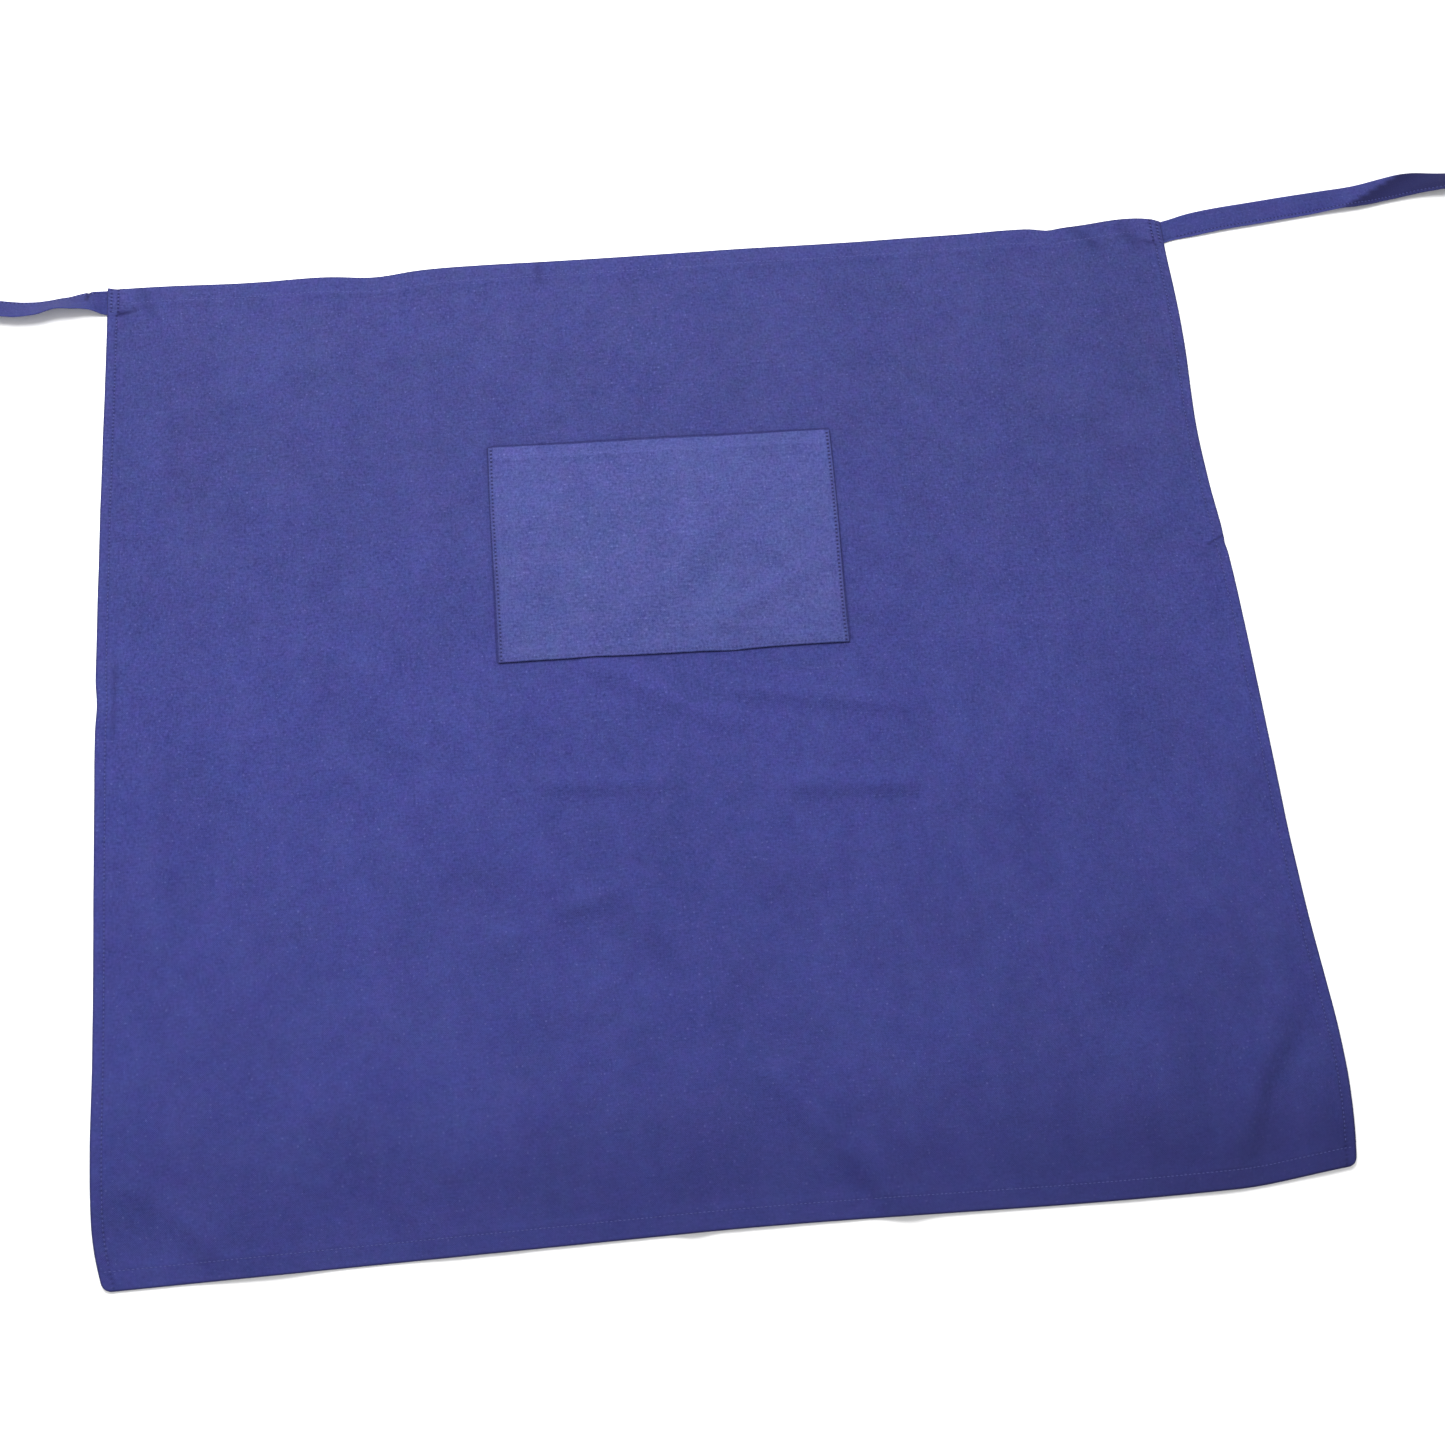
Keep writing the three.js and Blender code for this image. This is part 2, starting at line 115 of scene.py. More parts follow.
def wander(x: Array, y: Array, wave: float, seed: int) -> Array:
    """Smooth uneven ground: plane waves in seeded directions, added over the root of their count.

    Args:
        x: first coordinate.
        y: second coordinate, in the same unit.
        wave: the typical wavelength.
        seed: picks the directions, phases and lengths.
    Returns:
        A height that is mostly between -1 and 1.
    """
    rng = np.random.default_rng(seed)
    angles = rng.uniform(0.0, TURN, WAVES)
    phases = rng.uniform(0.0, TURN, WAVES)
    total = np.zeros(np.broadcast(x, y).shape)
    for angle, phase, stretch in zip(angles, phases, rng.uniform(*SPREAD_OF_WAVES, WAVES)):
        turn = TURN * stretch / wave
        total += np.cos(turn * (x * np.cos(angle) + y * np.sin(angle)) + phase)
    return total / np.sqrt(WAVES)


def unit(vectors: Array) -> Array:
    """Rows of three numbers, each divided by its length."""
    return vectors / np.maximum(np.linalg.norm(vectors, axis=-1, keepdims=True), 1e-12)


def at(places: Array, along: Array, rows: Array) -> Array:
    """Rows of three numbers, read at places between rising ones by straight lines."""
    return np.stack([np.interp(places, along, rows[:, k]) for k in range(3)], axis=-1)


def smooth_through(s: Array, knots: Sequence[tuple[float, float]]) -> Array:
    """A smooth curve through named values, level before the first place and after the last.

    Between two places it is the cubic that meets both values; its slope at each place is the
    mean slope of the two spans beside it, and zero at both ends.

    Args:
        s: where the value is wanted.
        knots: rising places, each with its value.
    Returns:
        The value at each s.
    """
    places, values = np.array(knots, dtype=float).T
    slopes = np.gradient(values, places)
    slopes[[0, -1]] = 0.0
    index = np.clip(np.searchsorted(places, s, side="right") - 1, 0, len(places) - 2)
    span = places[index + 1] - places[index]
    t = np.clip((s - places[index]) / span, 0.0, 1.0)
    start = t * (1.0 - t) ** 2 * span * slopes[index]
    stop = -t * t * (1.0 - t) * span * slopes[index + 1]
    return values[index] + (values[index + 1] - values[index]) * smooth(t) + start + stop


def lines_between(
    edge_lines: Sequence[float],
    half: float,
    step: float,
    low_lines: Optional[Sequence[float]] = None,
) -> Array:
    """Grid lines from -half to half: fixed ones near both ends and even ones between.

    Args:
        edge_lines: distances in from the upper end.
        half: half of the whole width.
        step: the largest gap between the even lines.
        low_lines: distances in from the lower end, where they differ.
    Returns:
        The rising positions of all the lines.
    """
    upper = half - np.array(edge_lines)[::-1]
    lower = -half + np.array(edge_lines if low_lines is None else low_lines)
    count = int(np.ceil((upper[0] - lower[-1]) / step))
    middle = np.linspace(lower[-1], upper[0], count + 1)[1:-1]
    return np.concatenate([lower, middle, upper])


# ---------------------------------------------------------------------------------------------
# Writing meshes


def write_mesh(
    name: str,
    points: Array,
    faces: Sequence[Array],
    values: dict[str, Array],
    cloth: Optional[Array] = None,
) -> bpy.types.Object:
    """Puts points and faces into a new smooth-shaded object at the origin.

    Args:
        name: the piece's name.
        points: rows of X, Y and Z in millimetres.
        faces: arrays of corner numbers, one array for each number of corners.
        values: named numbers for each point, kept as attributes.
        cloth: each point's place on the flat cloth in millimetres, kept as the UV map.
    Returns:
        The new object.
    """
    mesh = bpy.data.meshes.new(name)
    corners = [row for block in faces for row in np.asarray(block).tolist()]
    mesh.from_pydata((points * METRES).tolist(), [], corners)
    if cloth is not None:
        index = np.empty(len(mesh.loops), dtype=np.int32)
        mesh.loops.foreach_get("vertex_index", index)
        places = (cloth[index] * METRES).astype(np.float32)
        mesh.uv_layers.new(name="cloth").data.foreach_set("uv", places.ravel())
    for key, numbers in values.items():
        made = mesh.attributes.new(key, "FLOAT", "POINT")
        made.data.foreach_set("value", numbers.astype(np.float32))
    mesh.polygons.foreach_set("use_smooth", np.ones(len(mesh.polygons), dtype=bool))
    mesh.update()
    piece = bpy.data.objects.new(name, mesh)
    bpy.context.scene.collection.objects.link(piece)
    return piece


def grid_quads(index: Array, flip: bool = False) -> Array:
    """The four-cornered faces between the neighbours of a grid of corner numbers.

    Args:
        index: corner numbers in rows and columns.
        flip: turns the faces the other way.
    Returns:
        One row of four corner numbers for each face.
    """
    loop = [index[:-1, :-1], index[1:, :-1], index[1:, 1:], index[:-1, 1:]]
    if flip:
        loop.reverse()
    return np.stack(loop, axis=-1).reshape(-1, 4)


def dress(
    piece: bpy.types.Object, material: bpy.types.Material, nodes: Sequence[str]
) -> None:
    """Gives a piece its material and hides the nodes that it stands for.

    Args:
        piece: the piece.
        material: the material that it shows.
        nodes: the nodes that it replaces.
    """
    piece.data.materials.append(material)
    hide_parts(*nodes)


# ---------------------------------------------------------------------------------------------
# Shader building


class Wire:
    """A number socket that takes part in Python expressions."""

    def __init__(self, maker: "Shader", socket: bpy.types.NodeSocket) -> None:
        """Wraps an output socket of a shader."""
        self.maker = maker
        self.socket = socket

    def _math(self, operation: str, first: "Operand", second: "Operand" = 0.0) -> "Wire":
        """Adds one Math node and returns its result."""
        return self.maker.number("ShaderNodeMath", {"operation": operation}, {0: first, 1: second})

    def __add__(self, other: "Operand") -> "Wire":
        """Sum."""
        return self._math("ADD", self, other)

    def __sub__(self, other: "Operand") -> "Wire":
        """Difference."""
        return self._math("SUBTRACT", self, other)

    def __rsub__(self, other: "Operand") -> "Wire":
        """Difference from a plain number."""
        return self._math("SUBTRACT", other, self)

    def __mul__(self, other: "Operand") -> "Wire":
        """Product."""
        return self._math("MULTIPLY", self, other)

    def __truediv__(self, other: "Operand") -> "Wire":
        """Quotient."""
        return self._math("DIVIDE", self, other)

    def sine(self) -> "Wire":
        """Sine of an angle in radians."""
        return self._math("SINE", self)

    def size(self) -> "Wire":
        """The value without its sign."""
        return self._math("ABSOLUTE", self)

    def held(self) -> "Wire":
        """The value kept between 0 and 1."""
        return self._math("MINIMUM", self._math("MAXIMUM", self, 0.0), 1.0)


Operand = Union[Wire, float]


@dataclass(frozen=True)
class Grain:
    """Even noise: grains per metre along, across and through, and how much finer noise is added.

    On cloth the third number only picks another pattern.
    """

    along: float
    across: float
    through: float = 0.0
    detail: float = 2.0


class Shader:
    """One material's node tree, built from its outputs backwards."""

    def __init__(self, name: str) -> None:
        """Starts a material with an empty tree.

        Args:
            name: the material's name.
        """
        self.material = bpy.data.materials.new(name)
        self.material.use_nodes = True
        self.tree = self.material.node_tree
        self.tree.nodes.clear()

    def node(
        self, kind: str, settings: dict[str, object], inputs: dict[Union[int, str], object]
    ) -> bpy.types.Node:
        """Adds a node, sets it and then fills its sockets.

        Args:
            kind: the node's type.
            settings: its own properties.
            inputs: its sockets' numbers, colours, vectors or links.
        Returns:
            The node.
        """
        made = self.tree.nodes.new(kind)
        for key, value in settings.items():
            setattr(made, key, value)
        for key, value in inputs.items():
            source = value.socket if isinstance(value, Wire) else value
            if isinstance(source, bpy.types.NodeSocket):
                self.tree.links.new(source, made.inputs[key])
            else:
                made.inputs[key].default_value = source
        return made

    def number(
        self, kind: str, settings: dict[str, object], inputs: dict[Union[int, str], object]
    ) -> Wire:
        """Adds a node and carries on from its first output."""
        return Wire(self, self.node(kind, settings, inputs).outputs[0])

    def value(self, name: str) -> Wire:
        """A named number of the piece's points."""
        made = self.node("ShaderNodeAttribute", {"attribute_name": name}, {})
        return Wire(self, made.outputs["Fac"])

    def noise(self, place: bpy.types.NodeSocket, grain: Grain) -> Wire:
        """Even noise around 0.5, mostly between 0.2 and 0.8.

        Args:
            place: the coordinates, in metres.
            grain: its sizes.
        Returns:
            The noise.
        """
        stretch = (grain.along, grain.across, grain.through)
        spread = self.times(place, stretch)
        sockets = {"Vector": spread, "Scale": 1.0, "Detail": grain.detail, "Roughness": 0.55}
        return self.number("ShaderNodeTexNoise", {}, sockets)

    def times(self, first: bpy.types.NodeSocket, second: object) -> bpy.types.NodeSocket:
        """Two vectors or colours multiplied part by part."""
        settings = {"operation": "MULTIPLY"}
        return self.node("ShaderNodeVectorMath", settings, {0: first, 1: second}).outputs[0]

    def mix(self, share: Operand, first: object, second: object) -> bpy.types.NodeSocket:
        """A colour between two colours or links, the first at 0 and the second at 1."""
        sockets = {0: share, 6: first, 7: second}
        return self.node("ShaderNodeMix", {"data_type": "RGBA"}, sockets).outputs[2]

    def finish(
        self,
        sockets: dict[str, object],
        height: Optional[Wire] = None,
        relief: tuple[float, float] = (0.0, 0.0),
    ) -> bpy.types.Material:
        """Makes the surface and joins it to the output.

        Args:
            sockets: what the surface's sockets hold.
            height: what stands up, if anything does.
            relief: its strength, and its depth in metres.
        Returns:
            The finished material.
        """
        if height is not None:
            bump = {"Strength": relief[0], "Distance": relief[1], "Height": height}
            sockets = {**sockets, "Normal": self.node("ShaderNodeBump", {}, bump).outputs[0]}
        surface = self.node("ShaderNodeBsdfPrincipled", {}, sockets)
        self.node("ShaderNodeOutputMaterial", {}, {"Surface": surface.outputs[0]})
        return self.material


def tint(colour: Colour, gain: float, grey: float = 0.0) -> Tint:
    """A colour made lighter or darker and drawn towards grey.

    Args:
        colour: linear red, green and blue.
        gain: factor on all three.
        grey: share of the way to the colour's own mean.
    Returns:
        The colour with an alpha of 1.
    """
    mean = sum(colour) / 3.0
    return tuple(gain * (part + (mean - part) * grey) for part in colour) + (1.0,)


def scaled(colour: Colour, factors: Colour) -> Tint:
    """A colour with its own factor on each of its three parts and an alpha of 1."""
    return tuple(part * factor for part, factor in zip(colour, factors)) + (1.0,)


@dataclass(frozen=True)
class ClothFinish:
    """Plain-weave cotton: uneven yarns both ways, blotchy dye, rubbed folds and painted shadow
    lines.
    """

    name: str
    slot: str
    colour: Colour
    slub: float
    pitch: float = 0.62
    stitch: float = 2.9
    relief: tuple[float, float] = (0.6, 0.0004)
    roughness: float = 0.88
    field_reach: float = 20.0
    # Widths of the painted shadow line on a patch's outline and of its soft halo, in millimetres.
    shadow_line_width: float = 1.1
    shadow_halo_width: float = 5.0
    warp: Grain = Grain(820.0, 240.0)
    weft: Grain = Grain(210.0, 880.0)
    fleck: Grain = Grain(540.0, 500.0)
    patch: Grain = Grain(120.0, 105.0)
    mottle: Grain = Grain(46.0, 34.0, 3.0, 3.0)
    cloud: Grain = Grain(15.0, 12.0, 0.0, 4.0)
    lint: Grain = Grain(520.0, 500.0, 7.0, 0.0)
    red: tuple[Grain, Grain] = (Grain(24.0, 20.0, 11.0, 3.0), Grain(130.0, 105.0, 13.0, 4.0))
    blue: tuple[Grain, Grain] = (Grain(22.0, 27.0, 19.0, 3.0), Grain(110.0, 125.0, 23.0, 4.0))
    dark: Colour = (0.57, 0.59, 0.73)
    light: Colour = (1.55, 1.52, 1.31)
    # Factors for the colour that painted shade darkens the cloth towards.
    shaded: Colour = (0.29, 0.26, 0.37)

    def holes(self, shader: Shader, name: str, place: Wire) -> Wire:
        """Painted shade of needle holes at whole multiples of the stitch along a line of the named
        number.
        """
        beat = (place * (TURN / (self.stitch * METRES)) + 0.5 * np.pi).sine()
        return shader.value(name) * ((beat + 0.1) * 2.0).held()

    def hue(self, shader: Shader, place: bpy.types.NodeSocket) -> bpy.types.NodeSocket:
        """Factors on red, green and blue: the dye's drift, and a painted sheen that takes blue out
        towards the waist.

        Args:
            shader: the shader that it is made in.
            place: the cloth's own coordinates.
        Returns:
            The three factors as one vector.
        """
        wide, fine = (shader.noise(place, grain) - 0.5 for grain in self.red)
        red = wide + fine * 1.7
        wide, fine = (shader.noise(place, grain) - 0.5 for grain in self.blue)
        blue = wide + fine * 1.4
        # Painted sheen: the colour turns greyer towards the waist.
        painted_sheen = shader.value("painted_sheen")
        factors = {
            0: red * 0.20 - painted_sheen * 0.04 + 1.0,
            1: 1.0 - red * 0.17 - painted_sheen * 0.05,
            2: blue * 0.18 - painted_sheen * 0.16 + 1.0,
        }
        return shader.node("ShaderNodeCombineXYZ", {}, factors).outputs[0]

    def build(self) -> bpy.types.Material:
        """Makes the material from the cloth's own coordinates.

        The weave is the product of two sines; yarn, dye and weave set the share between the dark
        and the light form of the colour. Numbers of the points then rub it lighter ("wear") and
        darken it ("shade", most of it painted shade, and "seam" and "row", painted shade at needle
        holes). The number "beside" is 1 on a patch's outline and changes by 1 over the field's
        reach, so that the painted shadow line beside the patch stays sharp on a coarse mesh.

        Returns:
            The material.
        """
        shader = Shader(self.name)
        place = shader.node("ShaderNodeUVMap", {"uv_map": "cloth"}, {}).outputs[0]
        parts = shader.node("ShaderNodeSeparateXYZ", {}, {0: place}).outputs
        along, across = Wire(shader, parts[0]), Wire(shader, parts[1])
        turn = np.pi / (self.pitch * METRES)
        weave = (along * turn).sine() * (across * turn).sine()
        grains = (self.warp, self.weft, self.fleck, self.patch, self.mottle, self.cloud)
        warp, weft, fleck, patch, mottle, cloud = (
            shader.noise(place, grain) - 0.5 for grain in grains
        )
        lint = ((shader.noise(place, self.lint) - 0.745) * 14.0).held()
        yarn = (warp * 0.8 + weft * 0.8 + fleck * 1.3) * self.slub
        dye = patch * 0.40 + mottle * 0.50 + cloud * 0.42
        share = (yarn * (1.0 - shader.value("calm")) + dye + weave * 0.09 + 0.5).held()
        grain = shader.mix(share, scaled(self.colour, self.dark), scaled(self.colour, self.light))
        base = shader.times(grain, self.hue(shader, place))
        wear = (shader.value("wear") * (fleck * 0.9 + 0.7)).held()
        rubbed = shader.mix(wear, base, tint(self.colour, 1.9, 0.14))
        flecked = shader.mix(lint * 0.3, rubbed, tint(self.colour, 2.6, 0.35))
        # Painted shadow of the pocket's edge on the panel: a sharp line on its outline and a soft
        # halo.
        beside = (shader.value("beside") - 1.0).size() * self.field_reach
        line = (1.0 - beside / self.shadow_line_width).held() * 0.6
        painted_outline_shadow = line + (1.0 - beside / self.shadow_halo_width).held() * 0.10
        # Painted shade of the needle holes along the stitch lines.
        holes = self.holes(shader, "seam", across) + self.holes(shader, "row", along)
        # The sum of the darkening, most of it painted shade and painted shadow.
        shade = (shader.value("shade") + painted_outline_shadow + holes).held()
        sockets = {
            "Base Color": shader.mix(shade, flecked, scaled(self.colour, self.shaded)),
            "Roughness": (fleck * 0.12 + self.roughness).held(),
            "Sheen Weight": 0.10,
            "Sheen Roughness": 0.5,
            "Sheen Tint": tint(self.colour, 2.6, 0.3),
            "Specular IOR Level": 0.22,
        }
        return shader.finish(sockets, weave * 0.5 + warp + weft + fleck * 1.4 + patch, self.relief)


@dataclass(frozen=True)
class ThreadFinish:
    """Twisted sewing thread, with painted shade where it dives into its needle holes."""

    name: str
    colour: Colour
    grain: Grain = Grain(2600.0, 2600.0, 2600.0, 1.0)
    relief: tuple[float, float] = (0.3, 0.0001)

    def build(self) -> bpy.types.Material:
        """Makes the material: painted shade at depth 0 and light at depth 1, a little uneven.

        Returns:
            The material.
        """
        shader = Shader(self.name)
        place = shader.node("ShaderNodeTexCoord", {}, {}).outputs["Object"]
        grain = shader.noise(place, self.grain)
        share = (shader.value("depth") + (grain - 0.5) * 0.4).held()
        colour = shader.mix(share, tint(self.colour, 0.16), tint(self.colour, 1.15))
        sockets = {"Base Color": colour, "Roughness": 0.6, "Specular IOR Level": 0.35}
        return shader.finish(sockets, grain, self.relief)


# ---------------------------------------------------------------------------------------------
# What the panel and the pocket share


class Face(Enum):
    """Which face of the cloth a thread shows on."""

    FRONT = "needle"
    BACK = "bobbin"


def flat_place(cloth: Array) -> Array:
    """The one of a line's two places on the flat cloth that changes more along it."""
    return cloth[:, int(np.argmax(np.ptp(cloth, axis=0)))]


class Cloth:
    """A cloth given by its front and back over a grid of shares from -1 to 1."""

    def levels(self, a: Array, b: Array) -> tuple[Array, Array, Array, Array]:
        """X, Y, the front's Z and the back's Z for shares across and up."""
        raise NotImplementedError

    def flat(self, a: Array, b: Array) -> Array:
        """Places on the flat cloth for shares across and up."""
        raise NotImplementedError

    def points(self, face: Face, a: Array, b: Array) -> Array:
        """Points of the front or the back."""
        x, y, front, back = self.levels(a, b)
        return np.stack([x, y, front if face is Face.FRONT else back], axis=-1)

    def run(self, face: Face, a: Array, b: Array) -> Run:
        """A line on one face.

        Args:
            face: the face.
            a: shares across, or one for the whole line.
            b: shares up, or one for the whole line.
        Returns:
            Its points, its normals, straight out of that face, and its flat places.
        """
        a, b = np.broadcast_arrays(a, b)
        line = self.points(face, a, b)
        normals = np.zeros_like(line)
        normals[:, 2] = 1.0 if face is Face.FRONT else -1.0
        return line, normals, flat_place(self.flat(a, b))

    def sheet(self, name: str, a: Array, b: Array, values: dict[str, Array]) -> bpy.types.Object:
        """A cloth whose front and back share their outermost points, so that it is closed.

        Args:
            name: the piece's name.
            a: grid of shares across.
            b: grid of shares up.
            values: named grids of numbers, used on both faces.
        Returns:
            The new object.
        """
        inner = np.zeros(a.shape, dtype=bool)
        inner[1:-1, 1:-1] = True
        front = np.arange(a.size).reshape(a.shape)
        back = front.copy()
        back[inner] = a.size + np.arange(inner.sum())

        def both(near: Array, far: Array) -> Array:
            """Rows for the whole front and for the inside of the back."""
            return np.concatenate([near.reshape(a.size, -1), far[inner].reshape(inner.sum(), -1)])

        cloth = self.flat(a, b)
        return write_mesh(
            name,
            both(self.points(Face.FRONT, a, b), self.points(Face.BACK, a, b)),
            [grid_quads(front), grid_quads(back, flip=True)],
            {key: both(grid, grid)[:, 0] for key, grid in values.items()},
            both(cloth, cloth),
        )


# ---------------------------------------------------------------------------------------------
# The lay of the cloth


@dataclass(frozen=True)
class Crease:
    """One soft ridge, or a dip where its rise is negative, along a straight line."""

    start: tuple[float, float]
    end: tuple[float, float]
    width: float
    rise: float

    def height(self, x: Array, y: Array) -> Array:
        """A bell of the distance from the line, fading past its ends by a bell 1.6 as wide.

        Args:
            x: place along the waist.
            y: place up the panel.
        Returns:
            The height.
        """
        a, b = np.array(self.start), np.array(self.end)
        run = b - a
        length = float(np.hypot(*run))
        along = ((x - a[0]) * run[0] + (y - a[1]) * run[1]) / length
        across = ((x - a[0]) * -run[1] + (y - a[1]) * run[0]) / length
        past = np.maximum(np.maximum(-along, along - length), 0.0)
        return self.rise * hump(across, self.width) * hump(past, 1.6 * self.width)


@dataclass
class Lay:
    """How the panel's cloth lies on the surface: nearly flat, with soft creases and ripples."""

    ripple: float = 2.2
    rest: float = 0.9
    puff: float = 2.2
    strength: float = 5.0
    creases: tuple[Crease, ...] = (
        Crease((-60, 31), (21, -13), 8, 0.8),
        Crease((37, 8), (142, -12), 7, 0.8),
        Crease((-95, -50), (-29, -55), 7, 0.7),
        Crease((72, -64), (145, -70), 7, 0.8),
        Crease((-155, -125), (-50, -176), 15, -1.2),
        Crease((-130, -150), (-70, -130), 9, 0.6),
        Crease((31, -74), (31, -90), 8, -0.7),
        Crease((175, -164), (176, -176), 8, 0.7),
        Crease((212, -80), (232, -139), 8, 0.9),
        Crease((153, -96), (168, -140), 7, 0.8),
        Crease((-24, -81), (-11, -124), 7, 0.7),
        Crease((389, -250), (336, -332), 15, 1.5),
        Crease((410, -215), (372, -300), 14, -1.0),
        Crease((346, -177), (360, -217), 9, 1.0),
        Crease((37, -264), (107, -349), 11, 1.2),
        Crease((70, -250), (84, -345), 9, -0.8),
        Crease((-40, -280), (-30, -350), 11, 0.8),
        Crease((-357, -16), (-359, -86), 6, 0.6),
        Crease((-250, 60), (-205, 0), 14, 0.6),
        Crease((250, 210), (300, 150), 16, 0.6),
        Crease((-330, 250), (-250, 285), 16, 0.7),
        Crease((-380, -300), (-340, -335), 9, 0.8),
    )
    notch: Crease = Crease((402, 94), (390, 88), 2.2, 1.3)
    # Painted shade in the notch's crease.
    notch_shade: Crease = Crease((402, 94), (390, 88), 1.2, 0.8)
    # Painted shade in short tucks, nicks and puckers.
    marks: tuple[Crease, ...] = (
        Crease((-81, 352), (-81.5, 341), 2.6, 0.45),
        Crease((-396.9, 60), (-399, 10), 1.9, 0.35),
        Crease((327, 355), (343, 338), 4.0, 0.42),
        Crease((366, 351), (375, 337), 4.5, 0.40),
        Crease((-374.5, 351), (-369, 334), 4.0, 0.32),
    )

    def height(self, x: Array, y: Array) -> Array:
        """Height of the cloth's back above the surface, never below it.

        The rest height, a lift of the inside, three sums of plane waves that are weaker near the
        waist, ripples that die out up from the bottom hem, and the creases are added. The sum t
        is bent to (t + root of (t^2 + 1/2)) / 2, which stays above zero, and the notch is added.

        Args:
            x: place along the waist.
            y: place up the panel.
        Returns:
            The height.
        """
        inside = smooth((405.0 - np.abs(x)) / 80.0) * smooth((352.0 - np.abs(y)) / 80.0)
        waves = 0.75 * wander(x, y, 190.0, 11) + 0.22 * wander(x, y, 64.0, 12)
        waves = waves + 0.07 * wander(x, y, 26.0, 13)
        total = self.rest + self.puff * inside + (1.0 - 0.4 * smooth((y - 60.0) / 220.0)) * waves
        low = smooth((-180.0 - y) / 120.0) * (0.3 + 0.7 * smooth((y + 356.0) / 50.0))
        ripples = 0.8 * wander(x, y * 0.25, 95.0, 14) + 0.3 * wander(x, y * 0.3, 40.0, 15)
        total = total + self.ripple * low * ripples
        for crease in self.creases:
            total = total + self.strength * crease.height(x, y)
        return 0.5 * (total + np.sqrt(total**2 + 0.5)) + self.notch.height(x, y)

    def painted_falloff(self, x: Array, y: Array) -> Array:
        """Painted shade where the light falls off: along the hem, at its lower right and cloudily.

        Args:
            x: place along the waist.
            y: place up the panel.
        Returns:
            The sum of the four shares, each a product of slopes.
        """
        corner = smooth((x - 60.0) / 380.0) * smooth((-120.0 - y) / 240.0)
        hem = smooth((-255.0 - y - 0.05 * x) / 70.0) * (0.55 + 0.45 * smooth((x + 330.0) / 300.0))
        middle = smooth((80.0 - y) / 200.0) * smooth((x + 220.0) / 200.0)
        cloudy = (0.5 + 0.5 * wander(x, y, 150.0, 16)) * smooth((150.0 - y) / 300.0)
        return 0.26 * corner + 0.26 * hem + 0.06 * middle + 0.05 * cloudy

    def dark(self, shade: Array, x: Array, y: Array) -> Array:
        """Painted shade, deepened in the notch's crease and at the short marks of tucks and nicks.
        """
        shade = np.maximum(shade, self.notch_shade.height(x, y - 1.8))
        return shade + sum(mark.height(x, y) for mark in self.marks)


@dataclass
class HemSizes:
    """One hem: how far in its stitch line and inner fold lie, and how plainly they show."""

    seam: float
    fold: float
    soft: float
    sunk: float
    more: tuple[float, ...] = ()

    def lines(self) -> list[float]:
        """Grid lines that carry the rounded edge, the stitch line and the fold.

        Returns:
            Distances in from the hem's outer edge.
        """
        near = [0.0, 0.1, 0.35, 0.75, 1.25, 2.2]
        middle = np.linspace(2.2, self.seam - 0.8, 2 + int(self.seam / 3.5))[1:].tolist()
        seam = [self.seam + step for step in (-0.35, 0.0, 0.35)]
        fold = [self.fold + step for step in (-0.45, 0.0, 0.25, 0.9, 2.2, 4.0)]
        return near + middle + seam + fold + list(self.more)


